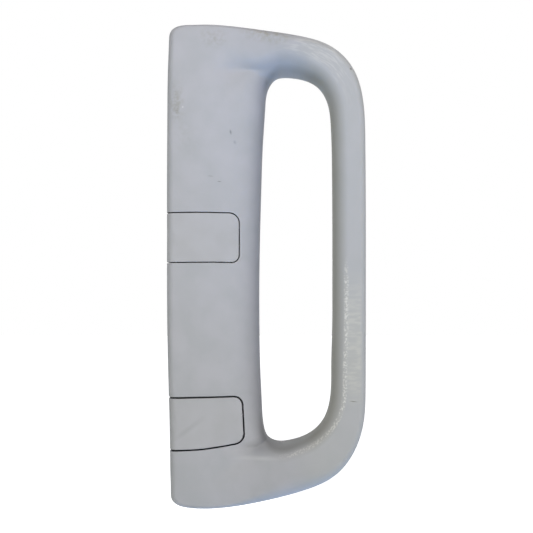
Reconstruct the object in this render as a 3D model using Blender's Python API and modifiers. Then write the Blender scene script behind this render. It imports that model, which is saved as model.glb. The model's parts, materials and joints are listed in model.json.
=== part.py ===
"""Grab handle for a vehicle pillar, modelled in metres with +Z up.

The handle is one grey plastic moulding: a broad leg that lies on the pillar, and a
D-shaped loop that runs out from both ends of the leg to the right. The front faces -Y.
The leg's rim lies on the plane y = 0, where the pillar is. Two screws hold the leg, and
each is hidden by a cover that swings out about two pins at the leg's left wall.
The origin is on the mounting plane, midway between the two screws.
"""
import math

import bmesh
import bpy
import numpy as np
from mathutils import Matrix

MM = 0.001
TO_FRONT = Matrix.Rotation(math.pi / 2, 4, "X")

# Edges of the outline, seen from the front
LEG_LEFT = -24.2 * MM
GRIP_RIGHT = 96.5 * MM
TOP = 187.2 * MM
BOTTOM = -109.4 * MM
HOLE_LEFT = 32.7 * MM
HOLE_RIGHT = 76.8 * MM
HOLE_TOP = 157.7 * MM
HOLE_BOTTOM = -70.5 * MM

# Depths, measured forward from the mounting plane
LEG_DEPTH = 34.0 * MM
GRIP_DEPTH = 47.0 * MM
GRIP_STANDOFF = 22.0 * MM

# Shell of the leg
WALL = 2.8 * MM
RIB = 2.2 * MM
RIB_SETBACK = 1.5 * MM
RIB_SPACING = 27.0 * MM

# Screws, washers and spacer bushes, for an M8 hexagon screw
SCREW_SPACING = 113.0 * MM
SHANK_RADIUS = 4.0 * MM
SCREW_LENGTH = 35.0 * MM
HEAD_ACROSS_FLATS = 13.0 * MM
HEAD_HEIGHT = 5.3 * MM
WASHER_RADIUS = 8.0 * MM
WASHER_THICK = 1.6 * MM
BUSH_RADIUS = 6.0 * MM
TOWER_WALL = 3.0 * MM

# Pockets and covers
UPPER_COVER_RIGHT = 21.2 * MM
UPPER_COVER_ABOVE = 14.9 * MM
UPPER_COVER_BELOW = 15.9 * MM
LOWER_COVER_RIGHT = 24.6 * MM
LOWER_COVER_ABOVE = 16.1 * MM
LOWER_COVER_BELOW = 17.1 * MM
POCKET_FLOOR = 16.0 * MM
FLOOR_THICK = 3.0 * MM
COVER_THICK = 2.5 * MM
UPPER_SEAM = 0.4 * MM
LOWER_SEAM = 0.9 * MM
HINGE_DEPTH = 5.2 * MM
BARREL_RADIUS = 2.0 * MM
BARREL_INSET = 0.25 * MM
PIN_RADIUS = 1.2 * MM
PIN_LENGTH = 1.7 * MM
SLOT_BRIDGE = 2.1 * MM
SLOT_ROOM = 1.2 * MM
CLEAR = 0.3 * MM
CATCH_WIDTH = 10.0 * MM
CATCH_THICK = 1.6 * MM
CATCH_ABOVE_FLOOR = 5.0 * MM

# How finely the moulding is faceted
STATIONS = 84
CAVITY_STATIONS = 46
OUTSIDE = (5, 4, 8, 4)
INSIDE = (4, 3, 6, 0)
CREASE = math.radians(35)

# Lengths that only have to reach past the moulding
FRONT_OF_ALL = 60 * MM
BEHIND_ALL = -5 * MM
LEFT_OF_ALL = LEG_LEFT - 6 * MM
PAST = 1 * MM


def clear_scene():
    """Remove every object, so that the script always starts from nothing."""
    for obj in list(bpy.data.objects):
        bpy.data.objects.remove(obj, do_unlink=True)


def smooth_closed(points, count):
    """Carry a smooth closed curve through the points, as a bent batten would lie.

    It is the periodic cubic spline over chord length, sampled evenly in that length.
    """
    p = np.array(points)
    n = len(p)
    chord = np.linalg.norm(np.roll(p, -1, 0) - p, axis=1)
    rows = np.zeros((n, n))
    right = np.zeros((n, 2))
    for i in range(n):
        before, after = chord[i - 1], chord[i]
        rows[i, i - 1] = after
        rows[i, i] = 2 * (before + after)
        rows[i, (i + 1) % n] = before
        right[i] = 3 * (after * (p[i] - p[i - 1]) / before + before * (p[(i + 1) % n] - p[i]) / after)
    slope = np.linalg.solve(rows, right)
    knots = np.concatenate([[0], np.cumsum(chord)])
    at = np.linspace(0, knots[-1], count, endpoint=False)
    i = np.searchsorted(knots, at, side="right") - 1
    t = ((at - knots[i]) / chord[i])[:, None]
    j = (i + 1) % n
    h = chord[i][:, None]
    return ((2 * t**3 - 3 * t**2 + 1) * p[i] + (t**3 - 2 * t**2 + t) * h * slope[i]
            + (3 * t**2 - 2 * t**3) * p[j] + (t**3 - t**2) * h * slope[j])


def outer_outline(count):
    """The outline round the whole handle, clockwise from the middle of the leg's left side."""
    left, right, top, foot = LEG_LEFT, GRIP_RIGHT, TOP, BOTTOM
    tall = top - foot
    left_side_up = [
        (left, foot + 0.57 * tall),
        (left + 0.2 * MM, foot + 0.69 * tall),
        (left + 0.6 * MM, foot + 0.81 * tall),
        (left + 0.9 * MM, top - 27 * MM),
        (left + 1.4 * MM, top - 11 * MM),
        (left + 2.5 * MM, top - 4.2 * MM)]
    over_the_top = [
        (left + 6.6 * MM, top - 1.2 * MM),
        (left + 14 * MM, top - 0.3 * MM),
        (0, top),
        (14 * MM, top - 1.0 * MM),
        (34 * MM, top - 4.3 * MM),
        (right - 38.5 * MM, top - 9.3 * MM),
        (right - 18.7 * MM, top - 17.8 * MM),
        (right - 7.1 * MM, top - 31.4 * MM)]
    down_the_grip = [
        (right - 1.6 * MM, top - 51 * MM),
        (right - 0.4 * MM, top - 74 * MM),
        (right - 0.1 * MM, foot + 0.6 * tall),
        (right, foot + 0.49 * tall),
        (right, foot + 0.38 * tall),
        (right - 0.1 * MM, foot + 74 * MM),
        (right - 1.3 * MM, foot + 55.5 * MM)]
    under_the_foot = [
        (right - 6.5 * MM, foot + 38.9 * MM),
        (right - 18.5 * MM, foot + 22.8 * MM),
        (right - 38.5 * MM, foot + 12.6 * MM),
        (29.8 * MM, foot + 4.5 * MM),
        (14 * MM, foot + 1.3 * MM),
        (0, foot),
        (left + 13 * MM, foot + 0.8 * MM),
        (left + 6.5 * MM, foot + 2.9 * MM)]
    left_side_again = [
        (left + 3.6 * MM, foot + 5.4 * MM),
        (left + 2.6 * MM, foot + 11 * MM),
        (left + 2.5 * MM, foot + 20 * MM),
        (left + 2.3 * MM, foot + 0.13 * tall),
        (left + 1.6 * MM, foot + 0.22 * tall),
        (left + 0.8 * MM, foot + 0.31 * tall),
        (left + 0.2 * MM, foot + 0.45 * tall)]
    return smooth_closed(left_side_up + over_the_top + down_the_grip + under_the_foot
                         + left_side_again, count)


def hole_outline(count):
    """The outline of the finger opening, clockwise from the middle of its left side."""
    left, right, top, foot = HOLE_LEFT, HOLE_RIGHT, HOLE_TOP, HOLE_BOTTOM
    tall = top - foot
    along_the_leg = [
        (left, foot + 0.42 * tall),
        (left + 0.4 * MM, foot + 0.57 * tall),
        (left + 1.1 * MM, foot + 0.7 * tall),
        (left + 2.2 * MM, foot + 0.83 * tall),
        (left + 3.5 * MM, top - 17.5 * MM)]
    under_the_top_arm = [
        (left + 5.8 * MM, top - 5.6 * MM),
        (left + 11 * MM, top - 0.4 * MM),
        (left + 18 * MM, top - 0.7 * MM),
        (right - 16.8 * MM, top - 3.7 * MM),
        (right - 7.8 * MM, top - 10.4 * MM),
        (right - 2.9 * MM, top - 19.7 * MM)]
    along_the_grip = [
        (right - 0.9 * MM, top - 33 * MM),
        (right - 0.2 * MM, foot + 0.72 * tall),
        (right, foot + 0.57 * tall),
        (right, foot + 0.42 * tall),
        (right - 0.2 * MM, foot + 0.3 * tall),
        (right - 0.7 * MM, foot + 50 * MM),
        (right - 1.4 * MM, foot + 29 * MM)]
    over_the_bottom_arm = [
        (right - 5.4 * MM, foot + 16.2 * MM),
        (right - 14.8 * MM, foot + 6.4 * MM),
        (right - 25.5 * MM, foot + 1.3 * MM),
        (left + 11.8 * MM, foot),
        (left + 5.9 * MM, foot + 2.2 * MM)]
    along_the_leg_again = [
        (left + 3.1 * MM, foot + 8.5 * MM),
        (left + 1.6 * MM, foot + 23.5 * MM),
        (left + 0.5 * MM, foot + 0.21 * tall),
        (left + 0.1 * MM, foot + 0.31 * tall)]
    return smooth_closed(along_the_leg + under_the_top_arm + along_the_grip + over_the_bottom_arm
                         + along_the_leg_again, count)


def ramp(value, start, end):
    """Rise smoothly from 0 at start to 1 at end."""
    t = np.clip((value - start) / (end - start), 0, 1)
    return t * t * t * (t * (6 * t - 15) + 10)


# The section at four places round the loop, as (distance in, distance down) of each rounded corner
LEG = {"shoulder": (4.5 * MM, 7 * MM), "roll": (26 * MM, 24 * MM), "back_out": (0.8 * MM, 0.8 * MM),
       "back_in": (0.8 * MM, 0.8 * MM), "crest": 22 * MM, "crown": 2.8 * MM}
TOP_ARM = {"shoulder": (6 * MM, 10 * MM), "roll": (15.5 * MM, 20 * MM), "back_out": (6 * MM, 6 * MM),
           "back_in": (6 * MM, 7 * MM), "crest": 8 * MM, "crown": 1 * MM}
BOTTOM_ARM = {"shoulder": (12 * MM, 12 * MM), "roll": (13 * MM, 18 * MM), "back_out": (6 * MM, 6 * MM),
              "back_in": (6 * MM, 7 * MM), "crest": 14 * MM, "crown": 1 * MM}
GRIP = {"shoulder": (4.5 * MM, 7 * MM), "roll": (8.5 * MM, 14 * MM), "back_out": (6.5 * MM, 8 * MM),
        "back_in": (6.5 * MM, 7 * MM), "crest": 8 * MM, "crown": 1 * MM}
CROWN_REACH = 35 * MM
SHARPEST = 0.4 * MM


def spread_by_bend(outline, count, bend_reach):
    """Pick points along an outline, closer together where it bends."""
    step = np.roll(outline, -1, 0) - outline
    length = np.linalg.norm(step, axis=1)
    heading = np.arctan2(step[:, 1], step[:, 0])
    turn = np.abs((np.roll(heading, -1) - heading + math.pi) % (2 * math.pi) - math.pi)
    travel = np.concatenate([[0], np.cumsum(length + bend_reach * turn)])
    at = np.linspace(0, travel[-1], count, endpoint=False)
    i = np.minimum(np.searchsorted(travel, at, side="right") - 1, len(outline) - 1)
    t = ((at - travel[i]) / (travel[i + 1] - travel[i]))[:, None]
    return outline[i] * (1 - t) + outline[(i + 1) % len(outline)] * t


def nearest_on(outline, points):
    """The point of a finely sampled outline that lies nearest to each given point."""
    gaps = np.linalg.norm(points[:, None, :] - outline[None, :, :], axis=2)
    return outline[np.argmin(gaps, axis=1)]


def corner_run(count, power):
    """A quarter of a rounded corner from the wall (1, 0) to the face (0, 1)."""
    angle = np.linspace(0, math.pi / 2, count)
    return np.cos(angle) ** (2 / power), np.sin(angle) ** (2 / power)


def front_depth(x):
    """How far the crest of the front stands out from the mounting plane."""
    return LEG_DEPTH + (GRIP_DEPTH - LEG_DEPTH) * ramp(x, 0.15 * HOLE_LEFT, HOLE_RIGHT + 3 * MM)


def rear_depth(x):
    """How far the rear stands off the mounting plane: not at all on the leg."""
    return GRIP_STANDOFF * ramp(x, HOLE_LEFT + 1 * MM, HOLE_RIGHT)


def mixed(shares, name, part=None):
    """One size of the section at each station, blended from the four places."""
    if part is None:
        return sum(place[name] * share for place, share in shares)
    return sum(place[name][part] * share for place, share in shares)


def outer_shares(outer):
    """How much each of the four sections rules the outer side of each station."""
    x, z = outer[:, 0], outer[:, 1]
    leg = 1 - ramp(x, 0.1 * HOLE_LEFT, HOLE_LEFT + 20 * MM)
    grip = ramp(x, HOLE_LEFT + 20 * MM, GRIP_RIGHT - 2 * MM)
    arm = 1 - leg - grip
    top = arm * (z > 0)
    return ((LEG, leg), (TOP_ARM, top), (BOTTOM_ARM, arm - top), (GRIP, grip))


def inner_shares(inner):
    """The same for the side at the opening, where the change is spread along the opening's edge."""
    middle = (HOLE_TOP + HOLE_BOTTOM) / 2
    half = (HOLE_TOP - HOLE_BOTTOM) / 2
    x = inner[:, 0]
    rise = np.abs(inner[:, 1] - middle)
    past_leg = (x - HOLE_LEFT - 6 * MM + rise - half) / math.sqrt(2)
    past_arm = (x - HOLE_RIGHT + 8 * MM - rise + half - 8 * MM) / math.sqrt(2)
    leg = 1 - ramp(past_leg, -30 * MM, 16 * MM)
    grip = ramp(past_arm, -18 * MM, 24 * MM)
    arm = 1 - leg - grip
    top = arm * (inner[:, 1] > middle)
    return ((LEG, leg), (TOP_ARM, top), (BOTTOM_ARM, arm - top), (GRIP, grip))


def section_rows(outer, inner, inset, fineness):
    """Closed sections, one row for each station: points in space as (x, y, z).

    Each runs up the outer wall, round the shoulder, across the crowned face, down the long
    roll to the opening, and back along the rear. An inset moves every side but the rear
    inwards, and carries the section on through the mounting plane.
    """
    n_corner, n_face, n_roll, n_back = fineness
    across = inner - outer
    span = np.linalg.norm(across, axis=1)
    ray = across / span[:, None]
    at_outer, at_inner = outer_shares(outer), inner_shares(inner)
    width = span - 2 * inset
    shoulder_in = np.maximum(mixed(at_outer, "shoulder", 0) - inset, SHARPEST)
    shoulder_down = np.maximum(mixed(at_outer, "shoulder", 1) - inset, SHARPEST)
    roll_in = np.maximum(mixed(at_inner, "roll", 0) - inset, SHARPEST)
    roll_down = np.maximum(mixed(at_inner, "roll", 1) - inset, SHARPEST)
    squeeze = np.minimum(1, 0.94 * width / (shoulder_in + roll_in))
    shoulder_in, roll_in = shoulder_in * squeeze, roll_in * squeeze

    front = []
    for a, u in zip(*corner_run(n_corner, 2.0)):
        front.append((shoulder_in * (1 - a), shoulder_down * (1 - u)))
    for t in np.linspace(0, 1, n_face + 1)[1:]:
        front.append((shoulder_in + (width - roll_in - shoulder_in) * t, 0 * width))
    a_run, u_run = corner_run(n_roll, 2.15)
    for a, u in zip(a_run[::-1][1:], u_run[::-1][1:]):
        front.append((width - roll_in * (1 - a), roll_down * (1 - u)))
    distance = np.stack([f[0] for f in front], 1) + inset
    drop = np.stack([f[1] for f in front], 1)
    crest, crown = mixed(at_outer, "crest")[:, None], mixed(at_outer, "crown")[:, None]
    bow = crown * ((distance - crest) / CROWN_REACH) ** 2
    x = outer[:, 0:1] + ray[:, 0:1] * distance
    depth = front_depth(x) - inset - drop - bow

    if inset > 0:
        rear_distance = np.stack([width + inset, 0 * width + inset], 1)
        rear_depths = np.full_like(rear_distance, -WALL)
    else:
        x_in, x_out = inner[:, 0], outer[:, 0]
        room_in = depth[:, -1] - rear_depth(x_in)
        room_out = depth[:, 0] - rear_depth(x_out)
        in_in = mixed(at_inner, "back_in", 0)
        in_up = np.minimum(mixed(at_inner, "back_in", 1), 0.85 * room_in)
        out_in = mixed(at_outer, "back_out", 0)
        out_up = np.minimum(mixed(at_outer, "back_out", 1), 0.85 * room_out)
        a_run, u_run = corner_run(n_back, 2.0)
        rear = [(width - in_in * (1 - a), in_up * (1 - u)) for a, u in zip(a_run, u_run)]
        rear += [(out_in * (1 - a), out_up * (1 - u)) for a, u in zip(a_run[::-1], u_run[::-1])]
        rear_distance = np.stack([r[0] for r in rear], 1)
        lift = np.stack([r[1] for r in rear], 1)
        rear_depths = rear_depth(outer[:, 0:1] + ray[:, 0:1] * rear_distance) + lift
    distance = np.concatenate([distance, rear_distance], 1)
    depth = np.concatenate([depth, rear_depths], 1)
    x = outer[:, 0:1] + ray[:, 0:1] * distance
    z = outer[:, 1:2] + ray[:, 1:2] * distance
    return np.stack([x, -depth, z], 2)


def moulding_mesh(name, inset, count, fineness, only_leg):
    """Loft the sections round the loop, or over the leg alone, into a closed mesh."""
    outer = spread_by_bend(outer_outline(3000), count, 14 * MM)
    if only_leg:
        outer = np.roll(outer, -(len(outer) // 2), 0)
        outer = outer[outer[:, 0] < HOLE_LEFT - 4 * MM]
    inner = nearest_on(hole_outline(9000), outer)
    rows = section_rows(outer, inner, inset, fineness)
    stations, around = rows.shape[:2]
    faces = []
    for s in range(stations - 1 if only_leg else stations):
        here, there = s * around, ((s + 1) % stations) * around
        for k in range(around):
            m = (k + 1) % around
            faces.append((here + k, there + k, there + m, here + m))
    if only_leg:
        faces.append(tuple(range(around)))
        faces.append(tuple(range((stations - 1) * around, stations * around))[::-1])
    mesh = bpy.data.meshes.new(name)
    mesh.from_pydata(rows.reshape(-1, 3).tolist(), [], faces)
    close_mesh(mesh, flat_faces=True)
    shade_round(mesh)
    return mesh


def shade_round(mesh):
    """Shade a mesh smooth, and keep its real edges crisp."""
    mesh.shade_smooth()
    mesh.set_sharp_from_angle(angle=CREASE)


def close_mesh(mesh, flat_faces=False):
    """Weld the seams of a mesh, turn its faces outwards, and split the faces that aren't flat."""
    bm = bmesh.new()
    bm.from_mesh(mesh)
    bmesh.ops.remove_doubles(bm, verts=bm.verts, dist=0.00001)
    if flat_faces:
        bmesh.ops.triangulate(bm, faces=bm.faces)
    bmesh.ops.recalc_face_normals(bm, faces=bm.faces)
    bm.to_mesh(mesh)
    bm.free()


def new_object(name, mesh, collection):
    """Put a mesh into a collection as an object of its own."""
    obj = bpy.data.objects.new(name, mesh)
    collection.objects.link(obj)
    return obj


def new_cutter(name, mesh, collection):
    """An object that only shapes others, so it is left out of the finished part."""
    obj = new_object(name, mesh, collection)
    obj.hide_render = True
    obj.display_type = "WIRE"
    return obj


def boolean(obj, operation, other):
    """Cut, join or keep the overlap of an object with another."""
    mod = obj.modifiers.new(other.name, "BOOLEAN")
    mod.operation = operation
    mod.object = other
    mod.solver = "EXACT"


def freeze(obj):
    """Replace the object's mesh with what its modifiers make of it, shaded round."""
    bpy.context.view_layer.update()
    depsgraph = bpy.context.evaluated_depsgraph_get()
    mesh = bpy.data.meshes.new_from_object(obj.evaluated_get(depsgraph))
    obj.modifiers.clear()
    obj.data = mesh
    shade_round(mesh)


def box_mesh(name, low, high):
    """A box between two corners, from a unit cube."""
    mesh = bpy.data.meshes.new(name)
    bm = bmesh.new()
    bmesh.ops.create_cube(bm, size=1)
    for vert in bm.verts:
        for axis in range(3):
            middle = (low[axis] + high[axis]) / 2
            vert.co[axis] = middle + vert.co[axis] * (high[axis] - low[axis])
    bm.to_mesh(mesh)
    bm.free()
    return mesh


def cylinder_mesh(name, radius, start, end, segments=32):
    """A cylinder between two points that differ along one axis only."""
    mesh = bpy.data.meshes.new(name)
    bm = bmesh.new()
    length = sum(abs(e - s) for s, e in zip(start, end))
    bmesh.ops.create_cone(bm, cap_ends=True, segments=segments, radius1=radius, radius2=radius, depth=length)
    if start[1] != end[1]:
        bmesh.ops.rotate(bm, verts=bm.verts, matrix=TO_FRONT.to_3x3())
    middle = [(s + e) / 2 for s, e in zip(start, end)]
    bmesh.ops.translate(bm, verts=bm.verts, vec=middle)
    bm.to_mesh(mesh)
    bm.free()
    shade_round(mesh)
    return mesh


def prism_mesh(name, outline, front, rear):
    """A flat outline in X and Z, drawn as a filled curve and extruded from front to rear depth."""
    curve = bpy.data.curves.new(name, "CURVE")
    curve.dimensions = "2D"
    curve.fill_mode = "BOTH"
    curve.extrude = (front - rear) / 2
    spline = curve.splines.new("POLY")
    spline.points.add(len(outline) - 1)
    for point, (x, z) in zip(spline.points, outline):
        point.co = (x, z, 0, 1)
    spline.use_cyclic_u = True
    obj = bpy.data.objects.new(name, curve)
    bpy.context.scene.collection.objects.link(obj)
    depsgraph = bpy.context.evaluated_depsgraph_get()
    mesh = bpy.data.meshes.new_from_object(obj.evaluated_get(depsgraph))
    bpy.data.objects.remove(obj)
    mesh.transform(Matrix.Translation((0, -(front + rear) / 2, 0)) @ TO_FRONT)
    close_mesh(mesh)
    return mesh


def rounded_outline(corners, grow, steps=6):
    """A convex outline from corners (x, z, radius), listed anticlockwise, with round corners.

    Growing it moves every side out and every radius with it; a negative value shrinks it.
    """
    points = []
    count = len(corners)
    for i, (x, z, radius) in enumerate(corners):
        before = np.array((x, z)) - corners[i - 1][:2]
        after = np.array(corners[(i + 1) % count][:2]) - (x, z)
        out_before = np.array((before[1], -before[0])) / np.linalg.norm(before)
        out_after = np.array((after[1], -after[0])) / np.linalg.norm(after)
        turn = math.acos(float(out_before @ out_after))
        middle = (out_before + out_after) / np.linalg.norm(out_before + out_after)
        centre = np.array((x, z)) - middle * radius / math.cos(turn / 2)
        if radius == 0:
            points.append(centre + middle * grow / math.cos(turn / 2))
            continue
        start = math.atan2(out_before[1], out_before[0])
        for k in range(steps + 1):
            angle = start + turn * k / steps
            points.append(centre + (radius + grow) * np.array((math.cos(angle), math.sin(angle))))
    return points


def left_edge(z):
    """Where the outline of the leg's left side lies at a height."""
    outline = outer_outline(3000)
    side = outline[outline[:, 0] < LEG_LEFT + 5 * MM]
    side = side[np.argsort(side[:, 1])]
    return float(np.interp(z, side[:, 1], side[:, 0]))


def cover_place(screw, low, high, seam, corners):
    """Everything that a pocket, its cover and its hinge share.

    The corners run anticlockwise from the lower left one. The second last and the one
    before it are the ends of the pocket's right wall, which the cover's catch lies against.
    """
    (x_low, z_low), (x_high, z_high) = corners[-3][:2], corners[-2][:2]
    walls = np.interp((screw - CATCH_WIDTH / 2, screw + CATCH_WIDTH / 2), (z_low, z_high), (x_low, x_high))
    return {"screw": screw, "low": low, "high": high, "seam": seam, "corners": corners,
            "catch": float(walls.min()) - CLEAR, "hinge": left_edge(screw) + BARREL_INSET + BARREL_RADIUS}


def upper_place():
    """The upper pocket: nearly square, with two round corners."""
    screw = SCREW_SPACING / 2
    low, high, right = screw - UPPER_COVER_BELOW, screw + UPPER_COVER_ABOVE, UPPER_COVER_RIGHT
    corners = [
        (LEFT_OF_ALL, low, 0),
        (right, low, 6 * MM),
        (right, high, 9 * MM),
        (LEFT_OF_ALL, high, 0)]
    return cover_place(screw, low, high, UPPER_SEAM, corners)


def lower_place():
    """The lower pocket: its right side leans a little, and its lower side rises to the right."""
    screw = -SCREW_SPACING / 2
    low, high, right = screw - LOWER_COVER_BELOW, screw + LOWER_COVER_ABOVE, LOWER_COVER_RIGHT
    corners = [
        (LEFT_OF_ALL, low, 0),
        (0.12 * right, low + 0.6 * MM, 60 * MM),
        (right, low + 4.8 * MM, 7 * MM),
        (right - 1.5 * MM, high + 1.4 * MM, 5.7 * MM),
        (LEFT_OF_ALL, high, 0)]
    return cover_place(screw, low, high, LOWER_SEAM, corners)


def slot_box(name, place, grow, front, rear):
    """The narrow part of a pocket at the leg's left wall, where the cover's hinge lies."""
    right = place["hinge"] + BARREL_RADIUS + SLOT_ROOM + grow
    return box_mesh(name, (LEFT_OF_ALL, -front, place["low"] - grow), (right, -rear, place["high"] + grow))


def cavity_cutter(places, cutters):
    """The hollow behind the leg, less the trays, towers and ribs that stand in it."""
    cavity = new_cutter("cavity", moulding_mesh("cavity", WALL, CAVITY_STATIONS, INSIDE, True), cutters)
    keep = {}
    for side, place in places.items():
        outline = rounded_outline(place["corners"], WALL)
        keep[side + "_tray"] = prism_mesh(side + "_tray", outline, FRONT_OF_ALL, POCKET_FLOOR - FLOOR_THICK)
        keep[side + "_slot_wall"] = slot_box(side + "_slot_wall", place, WALL, FRONT_OF_ALL, BEHIND_ALL)
        front, rear = (0, -FRONT_OF_ALL, place["screw"]), (0, -BEHIND_ALL, place["screw"])
        radius = BUSH_RADIUS + CLEAR + TOWER_WALL
        keep[side + "_tower"] = cylinder_mesh(side + "_tower", radius, front, rear)
    keep["long_rib"] = box_mesh("long_rib", (-RIB / 2, -FRONT_OF_ALL, BOTTOM), (RIB / 2, -BEHIND_ALL, TOP))
    for number, z in enumerate(rib_heights(places)):
        name = "cross_rib_%d" % (number + 1)
        low = (LEG_LEFT, -FRONT_OF_ALL, z - RIB / 2)
        high = (HOLE_LEFT + 20 * MM, -RIB_SETBACK, z + RIB / 2)
        keep[name] = box_mesh(name, low, high)
    for name, mesh in keep.items():
        boolean(cavity, "DIFFERENCE", new_cutter(name, mesh, cutters))
    return cavity


def rib_heights(places):
    """Even steps up the leg, leaving out those that would run into a pocket's tray."""
    heights = []
    first = math.ceil((BOTTOM + 2 * WALL) / RIB_SPACING)
    last = math.floor((TOP - 2 * WALL) / RIB_SPACING)
    for step in range(first, last + 1):
        z = step * RIB_SPACING
        if all(z < place["low"] - 2 * WALL or z > place["high"] + 2 * WALL for place in places.values()):
            heights.append(z)
    return heights


def hinge_rod(name, radius, place, low, high):
    """A round rod on a cover's hinge axis, between two heights."""
    x, y = place["hinge"], -HINGE_DEPTH
    return cylinder_mesh(name, radius, (x, y, low), (x, y, high), 16)


def make_handle_body(parts, cutters, places, moulding):
    """The moulding, hollow behind the leg, with its pockets, hinge slots and bores cut in."""
    body = new_object("handle_body", moulding, parts)
    boolean(body, "DIFFERENCE", cavity_cutter(places, cutters))
    for side, place in places.items():
        low, high, screw = place["low"], place["high"], place["screw"]
        outline = rounded_outline(place["corners"], 0)
        pocket = prism_mesh(side + "_pocket", outline, FRONT_OF_ALL, POCKET_FLOOR)
        slot = slot_box(side + "_slot", place, 0, POCKET_FLOOR + PAST, SLOT_BRIDGE)
        front, rear = (0, -POCKET_FLOOR - PAST, screw), (0, PAST, screw)
        bore = cylinder_mesh(side + "_bore", BUSH_RADIUS + CLEAR, front, rear)
        reach = PIN_LENGTH + CLEAR
        sockets = hinge_rod(side + "_sockets", PIN_RADIUS + CLEAR, place, low - reach, high + reach)
        for mesh in (pocket, slot, bore, sockets):
            boolean(body, "DIFFERENCE", new_cutter(mesh.name, mesh, cutters))
    return body


def make_cover(side, place, parts, cutters, moulding):
    """A plate that follows the moulding's surface and turns down over the leg's left wall."""
    seam = place["seam"]
    cover = new_object(side + "_cover", moulding.copy(), parts)
    blank = prism_mesh(side + "_blank", rounded_outline(place["corners"], -seam), FRONT_OF_ALL, HINGE_DEPTH)
    boolean(cover, "INTERSECT", new_cutter(side + "_blank", blank, cutters))
    lining = moulding_mesh(side + "_under", COVER_THICK, CAVITY_STATIONS, INSIDE, True)
    under = new_cutter(side + "_under", lining, cutters)
    low_corner = (place["catch"] - CATCH_THICK, -FRONT_OF_ALL, place["screw"] - CATCH_WIDTH / 2)
    high_corner = (place["catch"], -POCKET_FLOOR - CATCH_ABOVE_FLOOR, place["screw"] + CATCH_WIDTH / 2)
    catch = box_mesh(side + "_catch", low_corner, high_corner)
    boolean(under, "DIFFERENCE", new_cutter(side + "_catch", catch, cutters))
    boolean(cover, "DIFFERENCE", under)
    low, high = place["low"] + seam, place["high"] - seam
    reach = seam + PIN_LENGTH
    barrel = hinge_rod(side + "_barrel", BARREL_RADIUS, place, low + CLEAR, high - CLEAR)
    pins = hinge_rod(side + "_pins", PIN_RADIUS, place, low - reach, high + reach)
    boolean(cover, "UNION", new_cutter(side + "_barrel", barrel, cutters))
    boolean(cover, "UNION", new_cutter(side + "_pins", pins, cutters))
    pivot = bpy.data.objects.new(side + "_hinge", None)
    pivot.location = (place["hinge"], -HINGE_DEPTH, place["screw"])
    parts.objects.link(pivot)
    cover.parent = pivot
    cover.matrix_parent_inverse = Matrix.Translation(pivot.location).inverted()
    return cover


def turned(name, profile, closed, z, collection, steps=32):
    """Turn a profile of (radius, depth in front of the mounting plane) about a screw's axis."""
    mesh = bpy.data.meshes.new(name)
    count = len(profile)
    edges = [(i, i + 1) for i in range(count - 1)]
    if closed:
        edges.append((count - 1, 0))
    mesh.from_pydata([(radius, 0, depth) for radius, depth in profile], edges, [])
    obj = new_object(name, mesh, collection)
    screw = obj.modifiers.new("turn", "SCREW")
    screw.steps = steps
    screw.render_steps = steps
    screw.use_merge_vertices = True
    screw.merge_threshold = 0.00001
    obj.matrix_world = Matrix.Translation((0, 0, z)) @ TO_FRONT
    return obj


def ring_profile(inner, outer, rear, front, chamfer):
    """The closed section of a ring, with its outer edges chamfered."""
    return [
        (outer - chamfer, front),
        (outer, front - chamfer),
        (outer, rear + chamfer),
        (outer - chamfer, rear),
        (inner, rear),
        (inner, front)]


def make_screw(side, z, seat, parts, cutters):
    """A hexagon-head screw: the turned shank joined to a six-sided head with a chamfered top."""
    tip, top = seat - SCREW_LENGTH, seat + HEAD_HEIGHT
    inside_head = (seat + top) / 2
    point = SHANK_RADIUS / 4
    shank = [
        (0, inside_head),
        (SHANK_RADIUS, inside_head),
        (SHANK_RADIUS, tip + point),
        (SHANK_RADIUS - point, tip),
        (0, tip)]
    screw = turned(side + "_screw", shank, False, z, parts)
    corner = HEAD_ACROSS_FLATS / math.sqrt(3)
    hexagon = cylinder_mesh(side + "_head", corner, (0, -top, z), (0, -seat, z), 6)
    head = new_cutter(side + "_head", hexagon, cutters)
    flat = 0.46 * HEAD_ACROSS_FLATS
    slope = math.tan(math.radians(30))
    envelope = [
        (0, top),
        (flat, top),
        (corner + PAST, top - slope * (corner + PAST - flat)),
        (corner + PAST, seat - PAST),
        (0, seat - PAST)]
    chamfer = turned(side + "_head_chamfer", envelope, False, z, cutters)
    chamfer.hide_render = True
    chamfer.display_type = "WIRE"
    boolean(head, "INTERSECT", chamfer)
    boolean(screw, "UNION", head)
    return screw


def make_fastening(side, place, parts, cutters):
    """Spacer bush, washer and screw of one fixing point, stacked on the pillar."""
    z = place["screw"]
    hole = SHANK_RADIUS + CLEAR
    bush_ring = ring_profile(hole, BUSH_RADIUS, 0, POCKET_FLOOR, 0.4 * MM)
    bush = turned(side + "_bush", bush_ring, True, z, parts)
    washer_rear = POCKET_FLOOR + CLEAR
    washer_front = washer_rear + WASHER_THICK
    washer_ring = ring_profile(hole, WASHER_RADIUS, washer_rear, washer_front, 0.2 * MM)
    washer = turned(side + "_washer", washer_ring, True, z, parts)
    screw = make_screw(side, z, washer_front + CLEAR, parts, cutters)
    for obj in (bush, washer, screw):
        freeze(obj)
    return bush, washer, screw


def plain_material(name, colour, roughness, metallic):
    """A plain surface finish of one colour."""
    material = bpy.data.materials.new(name)
    material.use_nodes = True
    shader = material.node_tree.nodes["Principled BSDF"]
    shader.inputs["Base Color"].default_value = (*colour, 1)
    shader.inputs["Roughness"].default_value = roughness
    shader.inputs["Metallic"].default_value = metallic
    material.diffuse_color = (*colour, 1)
    return material


def paint(obj, material):
    """Give the whole of an object one material."""
    obj.data.materials.clear()
    obj.data.materials.append(material)
    for polygon in obj.data.polygons:
        polygon.material_index = 0


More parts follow.
